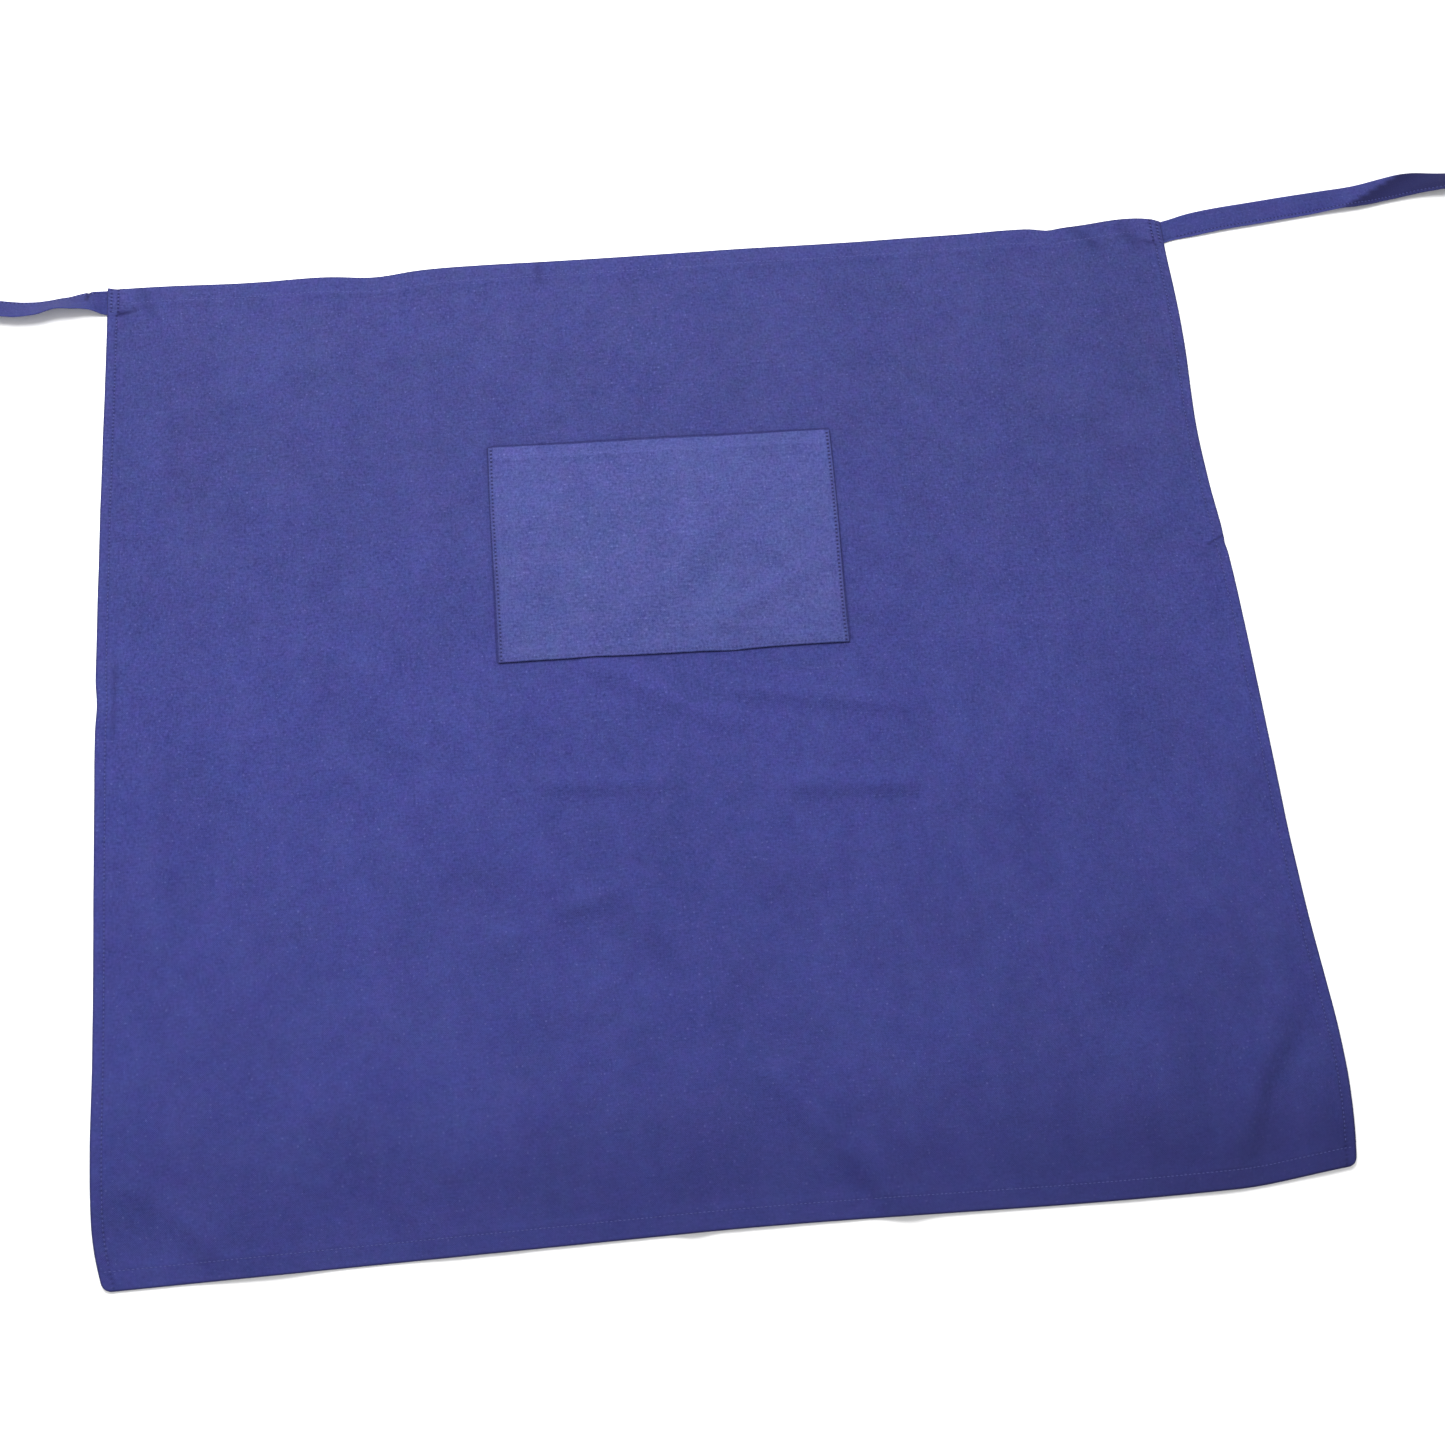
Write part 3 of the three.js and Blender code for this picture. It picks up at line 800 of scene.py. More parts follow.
@dataclass
class Panel(Cloth):
    """The apron's one big cloth, turned under along all four edges."""

    half_top: float
    half_bottom: float
    half_length: float
    lay: Lay = field(default_factory=Lay)
    cloth: float = 0.75
    hem: float = 2.4
    edge_radius: float = 1.2
    corner: float = 6.0
    step: float = 4.3
    tab: float = 15.0
    tie_drop: float = 11.5
    tie_half: float = 10.0
    anchor: tuple[float, float] = (3.2, 8.8)
    side: HemSizes = field(
        default_factory=lambda: HemSizes(7.5, 9.0, 5.0, 0.14, (14.5, 16.5, 18.5, 20.5))
    )
    waist: HemSizes = field(
        default_factory=lambda: HemSizes(
            12.5, 14.0, 5.0, 0.10, (19.6, 20.8, 21.6, 22.4, 23.6, 26.0)
        )
    )
    bottom: HemSizes = field(default_factory=lambda: HemSizes(12.5, 14.0, 6.0, 0.06))
    side_mark: float = 0.7
    waist_rub: float = 0.221
    bottom_mark: float = 0.05
    pucker: tuple[float, float, float] = (0.34, 0.22, 0.18)
    left_bells: Bells = ((-4.6, 40, 260), (-1.0, -250, 70), (9.0, -372, 34), (1.1, 34, 12))
    right_bells: Bells = (
        (-6.4, 172, 78),
        (-2.6, 340, 60),
        (7.0, -275, 92),
        (-1.0, 92, 6),
        (-4.0, -372, 34),
    )
    waist_bells: Bells = (
        (-3.6, -204, 26),
        (4.6, 372, 34),
        (-1.8, 310, 9),
        (-2.0, -300, 45),
        (1.5, 285, 30),
        (1.4, -400, 5),
        (-2.6, 402, 8),
    )
    notch_lines: tuple[float, float, float] = (84.0, 98.0, 1.1)
    patch: Optional["Pocket"] = None

    def place(self, a: Array, b: Array) -> tuple[Array, Array]:
        """From a place on the straight-sided cloth to the place where it lies.

        The sides bow and draw in and the waist edge wanders, each by a few bells, and the bottom
        edge drops and rises by two slopes; all fade out away from their edge. The two lower
        corners are drawn round first.

        Args:
            a: from -1 at the left edge to 1 at the right edge.
            b: from -1 at the bottom edge to 1 at the waist edge.
        Returns:
            X and Y.
        """
        a, b = self.round_corners(a, b)
        y0 = b * self.half_length
        share = (y0 + self.half_length) / (2.0 * self.half_length)
        x0 = a * (self.half_bottom + (self.half_top - self.half_bottom) * share)
        lower = -0.8 - 7.0 * smooth((x0 + 30.0) / 330.0) + 8.0 * smooth((x0 - 330.0) / 100.0)
        left, right, low, high = (smooth((t - 0.2) / 0.8) for t in (-a, a, -b, b))
        x = x0 + bells(y0, self.left_bells) * left + bells(y0, self.right_bells) * right
        y = y0 + bells(x0, self.waist_bells, -1.2) * high + lower * low
        return x, y

    def round_corners(self, a: Array, b: Array) -> tuple[Array, Array]:
        """Draws the two lower corners round, as a square is mapped to a disc.

        Args:
            a: share across.
            b: share up.
        Returns:
            Both shares; in the corner square p becomes p root(1 - q^2/2), and q the same with p.
        """
        width, length, radius = self.half_bottom, self.half_length, self.corner
        p = np.maximum(np.abs(a) * width - (width - radius), 0.0) / radius
        q = np.maximum(-b * length - (length - radius), 0.0) / radius
        p2, q2 = p * np.sqrt(1.0 - q * q / 2.0), q * np.sqrt(1.0 - p * p / 2.0)
        return a - np.sign(a) * (p - p2) * radius / width, b + (q - q2) * radius / length

    def depths(self, a: Array, b: Array) -> tuple[Array, Array, Array]:
        """Distances in from the nearer side edge, the waist edge and the bottom edge."""
        side = (1.0 - np.abs(a)) * self.half_bottom
        return side, (1.0 - b) * self.half_length, (1.0 + b) * self.half_length

    def on_hems(self, a: Array, b: Array, soft: Optional[float] = None) -> Array:
        """1 on the hems and 0 inside them, sloping at the fold over its own or a given width.

        Args:
            a: across, from -1 to 1.
            b: up, from -1 to 1.
            soft: the slope's width, where it isn't the hem's own.
        Returns:
            The highest of the three hems' shares.
        """
        shares = [
            1.0 - smooth((depth - hem.fold) / (soft or hem.soft))
            for hem, depth in zip((self.side, self.waist, self.bottom), self.depths(a, b))
        ]
        return np.maximum.reduce(shares)

    def on_seams(self, a: Array, b: Array, width: float, weights: Sequence[float]) -> Array:
        """A bell along each hem's stitch line, as high as that hem's weight; the highest counts.

        Args:
            a: across, from -1 to 1.
            b: up, from -1 to 1.
            width: the bell's width.
            weights: heights for the side, waist and bottom hems.
        Returns:
            The height.
        """
        shares = [
            weight * hump(depth - hem.seam, width)
            for hem, depth, weight in zip(
                (self.side, self.waist, self.bottom), self.depths(a, b), weights
            )
        ]
        return np.maximum.reduce(shares)

    def tucked(self, a: Array, b: Array) -> Array:
        """1 over the tucked tie ends and 0 away from them, with soft slopes between.

        Args:
            a: across, from -1 to 1.
            b: up, from -1 to 1.
        Returns:
            The share.
        """
        side, waist, _ = self.depths(a, b)
        across = 1.0 - smooth((side - self.tab + 1.0) / 5.0)
        return across * (1.0 - smooth((np.abs(waist - self.tie_drop) - self.tie_half + 1.0) / 3.0))

    def levels(self, a: Array, b: Array) -> tuple[Array, Array, Array, Array]:
        """The front and the back of the cloth.

        The middle of the cloth is the lay plus half a hem, with small puckers along the stitch
        lines. The cloth's half thickness is added and taken away; it grows on the hems, sinks at
        the stitch lines and closes as an ellipse at the outer folds.

        Args:
            a: across, from -1 to 1.
            b: up, from -1 to 1.
        Returns:
            X, Y, the front's Z and the back's Z.
        """
        x, y = self.place(a, b)
        close = rounded(np.minimum.reduce(self.depths(a, b)), self.edge_radius)
        pucker = self.on_seams(a, b, 4.5, self.pucker) * wander(x, y, 12.0, 21)
        middle = self.lay.height(x, y) + 0.5 * self.hem + pucker
        sunk = self.on_seams(a, b, 0.6, [hem.sunk for hem in (self.side, self.waist, self.bottom)])
        grown = self.hem - self.cloth
        front = middle + close * (0.5 * (self.cloth + grown * self.on_hems(a, b)) - sunk)
        front = front + 0.6 * self.tucked(a, b) * close
        back = middle - close * (0.5 * (self.cloth + grown * self.on_hems(a, b, 0.25)) - sunk)
        return x, y, front, np.maximum(back, 0.02)

    def flat(self, a: Array, b: Array) -> Array:
        """Places on the flat cloth, whose sides count as parallel."""
        return np.stack([a * self.half_bottom, b * self.half_length], axis=-1)

    def over(self, x: Array, y: Array, face: Face) -> Array:
        """Height of a face at a place on the plan, well inside the hems."""
        sign = 1.0 if face is Face.FRONT else -1.0
        return self.lay.height(x, y) + 0.5 * (self.hem + sign * self.cloth)

    def grid(self) -> tuple[Array, Array]:
        """The grid lines of the cloth, closer together along the hems and at the notch.

        Returns:
            The shares across and up of every grid point.
        """
        across = lines_between(self.side.lines(), self.half_bottom, self.step) / self.half_bottom
        up = lines_between(self.waist.lines(), self.half_length, self.step, self.bottom.lines())
        low, high, step = self.notch_lines
        up = np.concatenate([up[(up < low) | (up > high)], np.arange(low + 0.6, high, step)])
        return np.meshgrid(across, np.sort(up) / self.half_length, indexing="ij")

    def sewn(self, a: Array, b: Array) -> Array:
        """Where the painted shade of the needle holes of lines that run up shows.

        The side hems show faintly, more so near the waist and on the left; over the tie ends the
        two uprights of the stitched box show plainly instead.

        Args:
            a: share across.
            b: share up.
        Returns:
            The strength of the holes.
        """
        side, waist, _ = self.depths(a, b)
        _, y = self.place(a, b)
        strength = (0.6 + 0.5 * smooth((y - 80.0) / 200.0)) * np.where(a > 0.0, 0.65, 0.9)
        hems = self.on_seams(a, b, 0.9, (self.side_mark * strength, 0.0, 0.0))
        over_tie = 1.0 - smooth(np.abs(waist - self.tie_drop) - self.tie_half + 1.0)
        uprights = np.maximum.reduce([hump(side - depth, 0.8) for depth in self.anchor])
        return hems * (1.0 - over_tie) + 1.4 * over_tie * uprights

    def build(self, finish: ClothFinish, material: bpy.types.Material) -> None:
        """The wear follows the folds and, in patches, the waist's stitch line; the shade is painted
        shade of the light's fall-off, of the needle holes, of the outer edges and of the fold under
        each tie.

        Args:
            finish: the finish it takes.
            material: the finish's material.
        """
        a, b = self.grid()
        x, y = self.place(a, b)
        side, waist, bottom = self.depths(a, b)
        edge = np.minimum(np.minimum(side, waist), bottom)
        dashes = 0.5 + 0.5 * np.sin(x * 2.1 + 2.0 * wander(x, y, 40.0, 22))
        patchy = smooth(0.55 + 0.8 * wander(x, 0.0 * y, 90.0, 23))
        rub = self.on_seams(a, b, 0.7, (0.0, self.waist_rub, 0.0)) * dashes * patchy
        seam = self.sewn(a, b)
        # Painted shade in the crease along the lower edge of each tucked tie end.
        fold = hump(waist - self.tie_drop - self.tie_half + 0.2 * (side - 8.0), 1.6)
        fold = fold * smooth((side - 5.0) / 5.0) * (1.0 - smooth((side - 14.0) / 12.0))
        # Painted shade along the stitch lines and along the rolled outer edges.
        shade = 0.12 * seam + 0.60 * hump(edge - 0.3, 0.9)
        # More painted shade: in the creases under the tie ends and where the light falls off.
        shade = shade + np.where(a < 0.0, 1.0, 0.5) * fold + self.lay.painted_falloff(x, y)
        values = {
            "wear": 0.08 * hump(edge - 2.0, 1.0) + 0.04 * self.on_hems(a, b) + rub,
            "shade": self.lay.dark(shade, x, y),
            "seam": seam,
            # Painted shade of the needle holes along the bottom hem.
            "row": self.on_seams(a, b, 0.8, (0.0, 0.0, self.bottom_mark)),
            "calm": 0.42 * smooth((120.0 - y) / 380.0),
            # Painted sheen, growing towards the waist.
            "painted_sheen": smooth((y + 60.0) / 320.0),
            "beside": self.patch.outline_field(x, y, finish.field_reach),
        }
        piece = self.sheet("apron_panel", a, b, values)
        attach(piece, "panel")
        dress(piece, material, ["body_panel"])
        log.info("panel: %d by %d grid lines", *a.shape)


# ---------------------------------------------------------------------------------------------
# Stitching


@dataclass
class Sewer:
    material: bpy.types.Material
    slot: str = "thread"
    pitch: float = 2.9
    bite: float = 0.55
    width: float = 0.46
    rise: float = 0.15
    sink: float = 0.26
    sway: float = 0.09
    sides: int = 6
    seed: int = 100
    made: int = 0

    def template(self, open_ends: float) -> tuple[Array, list[Array], Array]:
        """One stitch along X from -1/2 to 1/2: five rings that swell and a point at each tip.

        Args:
            open_ends: depth number of its ends, 0 for the full painted shade of needle holes and 1
                for none.
        Returns:
            Its points, its faces and its depth numbers, 1 in the open.
        """
        places = np.array([-0.47, -0.24, 0.0, 0.24, 0.47])
        swell = np.array([0.8, 0.95, 1.0, 0.95, 0.8])[:, None] * 0.5
        turn = np.arange(self.sides) * TURN / self.sides
        along = np.repeat(places[:, None], self.sides, axis=1)
        rings = np.stack([along, swell * np.cos(turn), swell * np.sin(turn)], axis=-1)
        points = np.concatenate([rings.reshape(-1, 3), [[-0.5, 0.0, 0.0], [0.5, 0.0, 0.0]]])
        index = np.arange(len(points) - 2).reshape(len(places), self.sides)
        wrapped = np.concatenate([index, index[:, :1]], axis=1)
        tip = np.full(self.sides, len(points) - 2)
        first = np.stack([wrapped[0, 1:], wrapped[0, :-1], tip], axis=-1)
        last = np.stack([wrapped[-1, :-1], wrapped[-1, 1:], tip + 1], axis=-1)
        shoulder = 0.75 + 0.25 * open_ends
        # Low depth numbers get painted shade where the thread dives into its holes.
        depth = np.repeat([open_ends, shoulder, 1.0, shoulder, open_ends], self.sides)
        faces = [grid_quads(wrapped, flip=True), first, last]
        return points, faces, np.append(depth, [open_ends, open_ends])

    def copies(self, shape: Array, run: Run, rng: np.random.Generator) -> Array:
        """The stitch's points copied along one line.

        The line is cut wherever its place on the flat cloth passes a whole number of pitches,
        where the cloth's own needle holes lie. A stitch spans each step less its bite; its middle
        is lifted along the surface's normal and its tips sink by the square of their distance
        from the middle.

        Args:
            shape: the stitch's points.
            run: the line's points, normals and flat places.
            rng: where the small differences between stitches come from.
        Returns:
            One row of points for each stitch.
        """
        line, normals, flat = run
        if flat[0] > flat[-1]:
            line, normals, flat = line[::-1], normals[::-1], flat[::-1]
        first, last = np.ceil(flat[0] / self.pitch), np.floor(flat[-1] / self.pitch)
        cuts = np.arange(first, last + 1.0) * self.pitch
        middle = 0.5 * (cuts[1:] + cuts[:-1])
        centre, out = at(middle, flat, line), unit(at(middle, flat, normals))
        along = np.diff(at(cuts, flat, line), axis=0)
        span = np.linalg.norm(along, axis=1) - self.bite
        along = unit(along)
        sway = rng.uniform(-self.sway, self.sway, (len(middle), 1))
        along = unit(along + unit(np.cross(out, along)) * sway)
        beside = unit(np.cross(out, along))
        sag = self.rise - (self.rise + self.sink) * (2.0 * shape[:, 0]) ** 2
        up = shape[None, :, 2, None] * self.width * 0.8 + sag[None, :, None]
        return (
            centre[:, None, :]
            + along[:, None, :] * (shape[None, :, 0, None] * span[:, None, None])
            + beside[:, None, :] * (shape[None, :, 1, None] * self.width)
            + out[:, None, :] * up
        )

    def sew(self, node: str, body: str, runs: Sequence[Run], open_ends: float = 0.0) -> None:
        """Makes one thread's stitches, all in one mesh, in place of its bead.

        Args:
            node: the bead that they stand for, whose name they carry on.
            body: the body that they move with.
            runs: lines of points, each with its normals and flat places.
            open_ends: depth number of the stitches' ends.
        """
        self.made += 1
        rng = np.random.default_rng(self.seed + self.made)
        shape, faces, depth = self.template(open_ends)
        cloud = np.concatenate([self.copies(shape, run, rng) for run in runs])
        steps = np.arange(len(cloud))[:, None, None] * len(shape)
        blocks = [(block[None, :, :] + steps).reshape(-1, block.shape[1]) for block in faces]
        name = node.replace("_thread", "_stitches")
        values = {"depth": np.tile(depth, len(cloud))}
        piece = write_mesh(name, cloud.reshape(-1, 3), blocks, values)
        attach(piece, body)
        dress(piece, self.material, [node])
        log.info("%s: %d stitches", name, len(cloud))


@dataclass
class PanelSeams:
    """The stitch lines of the four hems and of the two tucked tie ends."""

    panel: Panel
    tie_y: float
    tie_half: float = 10.0
    tab: float = 14.0
    margin: float = 2.0
    gap: float = 1.5
    twin: float = 0.7

    def across(self, side: int, depth: Array) -> Array:
        """The share across for a depth in from one side edge."""
        return side * (1.0 - depth / self.panel.half_bottom)

    def side_hem(self, side: int, face: Face) -> list[Run]:
        """Up one side hem, from the bottom stitch line to under the tie.

        Args:
            side: -1 for the left hem and 1 for the right one.
            face: the face that the thread shows on.
        Returns:
            The one line.
        """
        low = -1.0 + (self.panel.bottom.seam + self.gap) / self.panel.half_length
        high = (self.tie_y - self.tie_half - self.gap) / self.panel.half_length
        share = self.across(side, np.array(self.panel.side.seam))
        return [self.panel.run(face, share, np.linspace(low, high, 700))]

    def level_hem(self, hem: HemSizes, edge: int, inset: float, face: Face) -> list[Run]:
        """Along the waist hem or the bottom hem, up to an inset from both sides.

        Args:
            hem: the hem's sizes.
            edge: 1 for the waist and -1 for the bottom.
            inset: how far in from the side edges it ends.
            face: the face that the thread shows on.
        Returns:
            The one line.
        """
        end = float(self.across(1, np.array(inset)))
        b = np.array(edge * (1.0 - hem.seam / self.panel.half_length))
        return [self.panel.run(face, np.linspace(-end, end, 900), b)]

    def tie_box(self, side: int, face: Face) -> list[Run]:
        """The box of stitches through one tucked tie end.

        Args:
            side: -1 for the left tie and 1 for the right one.
            face: the face that the thread shows on.
        Returns:
            Its uprights, the outer one sewn twice, and its two level rows.
        """
        near, far = self.panel.anchor
        reach = self.tie_half - self.margin
        low, high = ((self.tie_y + part) / self.panel.half_length for part in (-reach, reach))
        up, over = np.linspace(low, high, 60), self.across(side, np.linspace(near, far, 20))
        uprights = (self.across(side, np.array(d)) for d in (near, near + self.twin, far))
        runs = [self.panel.run(face, share, up) for share in uprights]
        return runs + [self.panel.run(face, over, np.array(level)) for level in (low, high)]

    def build(self, sewer: Sewer) -> None:
        """Sews all of them on both faces.

        Args:
            sewer: makes the stitches.
        """
        for face in Face:
            for name, side in (("left", -1), ("right", 1)):
                hem, box = self.side_hem(side, face), self.tie_box(side, face)
                sewer.sew(f"{name}_hem_{face.value}_thread", "panel", hem)
                sewer.sew(f"{name}_anchor_{face.value}_thread", "panel", box)
            waist = self.level_hem(self.panel.waist, 1, self.tab + self.gap, face)
            bottom = self.level_hem(self.panel.bottom, -1, self.gap, face)
            sewer.sew(f"waist_hem_{face.value}_thread", "panel", waist, 0.5)
            sewer.sew(f"bottom_hem_{face.value}_thread", "panel", bottom, 0.3)


# ---------------------------------------------------------------------------------------------
# The pocket


@dataclass
class Pocket(Cloth):
    """The patch pocket: its cloth, its turned edges, its mouth hem and its seams."""

    panel: Panel
    centre: tuple[float, float]
    half_width: float
    half_height: float
    turn: float
    margin: float = 8.0
    band: float = 10.0
    mouth_seam: float = 7.6
    seam: float = 2.3
    bow: float = 2.0
    layer: float = 0.75
    edge_radius: float = 0.8
    mouth_lift: float = 1.3
    tack: tuple[float, float] = (1.0, 12.5)
    step: float = 2.3
    flat_middle: tuple[float, float] = (37.0, 411.0)
    side_lines: tuple[float, ...] = (
        *(0.0, 0.08, 0.28, 0.6, 1.0, 1.4, 1.8, 2.3, 2.8, 3.2),
        *(3.8, 4.8, 6.2, 7.6, 8.0, 8.4, 9.4, 10.6, 12.0),
    )
    mouth_lines: tuple[float, ...] = (
        *(0.0, 0.08, 0.28, 0.6, 1.1, 2.4, 4.2, 5.8, 6.8, 7.3),
        *(7.6, 7.9, 8.4, 9.2, 9.8, 10.1, 10.5, 11.4, 12.4, 13.6),
    )
    creases: tuple[Crease, ...] = (
        Crease((48, 152), (-21, 73), 10, 2.0),
        Crease((89, 91), (35, 64), 8, 2.2),
        Crease((-90, 150), (-60, 120), 12, 1.1),
        Crease((30, 55), (60, 45), 7, 1.5),
    )

    def outline_field(self, x: Array, y: Array, reach: float) -> Array:
        """1 on the pocket's outline, rising outside it and falling inside it by 1 over a reach.

        Args:
            x: place along the waist.
            y: place up the panel.
            reach: the distance over which it changes by 1.
        Returns:
            The field, held between 0 and 2.
        """
        cos, sin = np.cos(self.turn), np.sin(self.turn)
        dx, dy = x - self.centre[0], y - self.centre[1]
        over, up = np.abs(dx * cos + dy * sin), dy * cos - dx * sin
        tall = np.maximum(up - self.mouth_lift, -up) - self.half_height
        out = np.stack([over - self.half_width, tall])
        outside = np.hypot(*np.maximum(out, 0.0))
        return np.clip(1.0 + (outside + np.minimum(out.max(axis=0), 0.0) - 0.5) / reach, 0.0, 2.0)

    def plan(self, a: Array, b: Array) -> tuple[Array, Array]:
        """The place on the plan: a rectangle with slightly uneven edges, turned about its middle.

        Args:
            a: across, from -1 to 1.
            b: up, from -1 to 1.
        Returns:
            X and Y.
        """
        u = a * self.half_width + 0.5 * a * np.sin(2.6 * b + 0.4)
        v = b * self.half_height + 0.9 * np.minimum(b, 0.0) * hump(a - 0.33, 0.12)
        v = v - 0.7 * np.maximum(b, 0.0) * hump(a, 0.6)
        cos, sin = np.cos(self.turn), np.sin(self.turn)
        return self.centre[0] + u * cos - v * sin, self.centre[1] + u * sin + v * cos

    def depths(self, a: Array, b: Array) -> tuple[Array, Array, Array]:
        """Distances in from the nearer side, from the mouth and from the bottom edge."""
        side = (1.0 - np.abs(a)) * self.half_width
        return side, (1.0 - b) * self.half_height, (1.0 + b) * self.half_height

    def standing(self, a: Array, b: Array) -> Array:
        """How far the cloth stands off the panel inside its seams.

        A bow that is flat-topped across, as 1 minus the fifth power, and rises from the bottom as
        1 minus the fourth power, a little less at the mouth; on it the creases and a slow
        unevenness, each fading out towards the seams.

        Args:
            a: across, from -1 to 1.
            b: up, from -1 to 1.
        Returns:
            The height.
        """
        x, y = self.plan(a, b)
        side, mouth, bottom = self.depths(a, b)
        inside = np.minimum(side, bottom) - self.seam
        across = np.clip(1.0 - side / (self.half_width - self.seam), 0.0, 1.0)
        up = np.clip((bottom - self.seam) / (2.0 * self.half_height), 0.0, 1.0)
        bow = self.bow * (1.0 - across**5) * (1.0 - (1.0 - up) ** 4) * smooth(inside / 9.0)
        bow = bow * (1.0 - 0.35 * hump(mouth, 12.0))
        for crease in self.creases:
            bow = bow + crease.height(x, y) * smooth(inside / 14.0)
        return bow + 0.14 * (1.0 + wander(x, y, 34.0, 31)) * smooth(inside / 8.0)

    def levels(self, a: Array, b: Array) -> tuple[Array, Array, Array, Array]:
        """The front and the back of the pocket's cloth.

        The sewn margin lies two layers thick on the panel. Inside it the cloth is one layer and
        stands off; the mouth hem is thicker by most of a layer. The stitch lines sink in with
        small puckers beside them, and the edges close as an ellipse.

        Args:
            a: across, from -1 to 1.
            b: up, from -1 to 1.
        Returns:
            X, Y, the front's Z and the back's Z.
        """
        x, y = self.plan(a, b)
        side, mouth, bottom = self.depths(a, b)
        sewn = np.minimum(side, bottom)
        soft = 1.0 - smooth((sewn - self.margin) / 2.5)
        crisp = 1.0 - smooth((sewn - self.margin) / 0.4)
        band_front = 1.0 - smooth((mouth - self.band + 1.0) / 4.5)
        band_back = 1.0 - smooth((mouth - self.band) / 0.3)
        base = self.panel.over(x, y, Face.FRONT) + 0.06
        front = base + self.layer * (1.05 + soft + 0.8 * band_front) + self.standing(a, b)
        hems = 0.8 * band_back * (1.0 - crisp) + 0.8 * crisp * band_front
        thick = self.layer * (1.0 + 1.05 * crisp + hems)
        stitched = np.maximum(hump(side - self.seam, 0.5), hump(bottom - self.seam, 0.5))
        stitched = np.maximum(stitched, hump(mouth - self.mouth_seam, 0.5) * 0.35)
        pucker = 0.10 * hump(sewn - self.seam, 2.5) * (1.0 + wander(x, y, 9.0, 32))
        front = front - 0.14 * stitched + pucker
        back = front - thick + 0.07 * stitched
        close = rounded(np.minimum(sewn, mouth), self.edge_radius)
        middle, half = 0.5 * (front + back), 0.5 * (front - back)
        return x, y, middle + close * half, np.maximum(middle - close * half, base - 0.02)

    def flat(self, a: Array, b: Array) -> Array:
        """Places on the flat cloth that the pocket was cut from."""
        over, up = self.flat_middle
        return np.stack([a * self.half_width + over, b * self.half_height + up], axis=-1)

    def three_sides(self, face: Face) -> list[Run]:
        """Both sides and the bottom of the pocket.

        Args:
            face: the front, or the back of the panel behind the pocket.
        Returns:
            The three lines.
        """
        a0, b0 = 1.0 - self.seam / self.half_width, -1.0 + self.seam / self.half_height
        up = np.linspace(b0, 1.0 - 1.5 / self.half_height, 160)
        over = np.linspace(-a0, a0, 240)
        runs = []
        for a, b in ((np.full(160, -a0), up), (over, np.full(240, b0)), (np.full(160, a0), up)):
            line, normals, flat = self.run(Face.FRONT, a, b)
            if face is Face.BACK:
                x, y = self.plan(a, b)
                line = np.stack([x, y, self.panel.over(x, y, Face.BACK)], axis=-1)
                normals = -normals
            runs.append((line, normals, flat))
        return runs

    def back_tacks(self) -> list[Run]:
        """The short double rows at both ends of the mouth.

        Returns:
            The four lines.
        """
        b = np.linspace(*(1.0 - end / self.half_height for end in self.tack), 30)
        insets = (self.seam - 0.45, self.seam + 0.5)
        shares = [side * (1.0 - inset / self.half_width) for side in (-1, 1) for inset in insets]
        return [self.run(Face.FRONT, np.full(30, share), b) for share in shares]

    def mouth_run(self, face: Face) -> list[Run]:
        """Across the mouth hem between the sewn margins.

        Args:
            face: the front or the back of the pocket.
        Returns:
            The one line.
        """
        end = 1.0 - (self.margin + 0.5) / self.half_width
        b = np.array(1.0 - self.mouth_seam / self.half_height)
        return [self.run(face, np.linspace(-end, end, 240), b)]

    def build(self, finish: ClothFinish, material: bpy.types.Material, sewer: Sewer) -> None:
        """Makes the pocket's cloth and its seams.

        The mouth band is rubbed a little, most along its stitch line; the margins are darker, and
        painted shade darkens the edges and the needle holes.

        Args:
            finish: not used.
            material: the finish's material.
            sewer: makes the stitches.
        """
        across = lines_between(self.side_lines, self.half_width, self.step) / self.half_width
        up = lines_between(self.mouth_lines, self.half_height, self.step, self.side_lines)
        a, b = np.meshgrid(across, up / self.half_height, indexing="ij")
        side, mouth, bottom = self.depths(a, b)
        tacked = 1.0 - smooth((mouth - 11.0) / 3.0)
        # Painted shade on the rolled edges, with a painted shadow line along the mouth.
        low_rim, high_rim = 0.3 * hump(bottom, 0.6), 0.6 * hump(mouth, 0.4)
        rim = np.maximum(hump(side, 0.7), np.maximum(low_rim, high_rim))
        strip = 0.17 * (1.0 - smooth((side - 1.0) / 3.4))
        strip = strip + 0.04 * (1.0 - smooth((bottom - 1.0) / 3.4))
        band = 1.0 - smooth((mouth - self.band + 1.0) / 3.0)
        dashes = 0.5 + 0.5 * np.sin(a * self.half_width * 2.1)
        worn_line = (0.10 + 0.12 * dashes) * hump(mouth - self.mouth_seam - 0.6, 1.3)
        # Painted shade of the needle holes along the side seams.
        holes = hump(side - self.seam, 0.75) * (1.1 + 0.4 * tacked + 0.35 * (a > 0.0))
        values = {
            "wear": 0.06 * band + worn_line,
            "shade": np.maximum(strip, 0.6 * rim),
            "seam": holes,
            # Painted shade of the needle holes along the bottom seam.
            "row": 0.35 * hump(bottom - self.seam, 0.7),
        }
        piece = self.sheet("pocket", a, b, values)
        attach(piece, "panel")
        dress(piece, material, ["pocket_panel"])
        flat = (2.0 * self.half_width * METRES, 2.0 * self.half_height * METRES)
        log.info("pocket: %d by %d grid lines", *a.shape)
        front = self.three_sides(Face.FRONT) + self.back_tacks()
        sewer.sew("pocket_seam_needle_thread", "panel", front)
        sewer.sew("pocket_seam_bobbin_thread", "panel", self.three_sides(Face.BACK))
        for face in Face:
            sewer.sew(f"pocket_mouth_{face.value}_thread", "panel", self.mouth_run(face), 0.8)


# ---------------------------------------------------------------------------------------------
# The ties


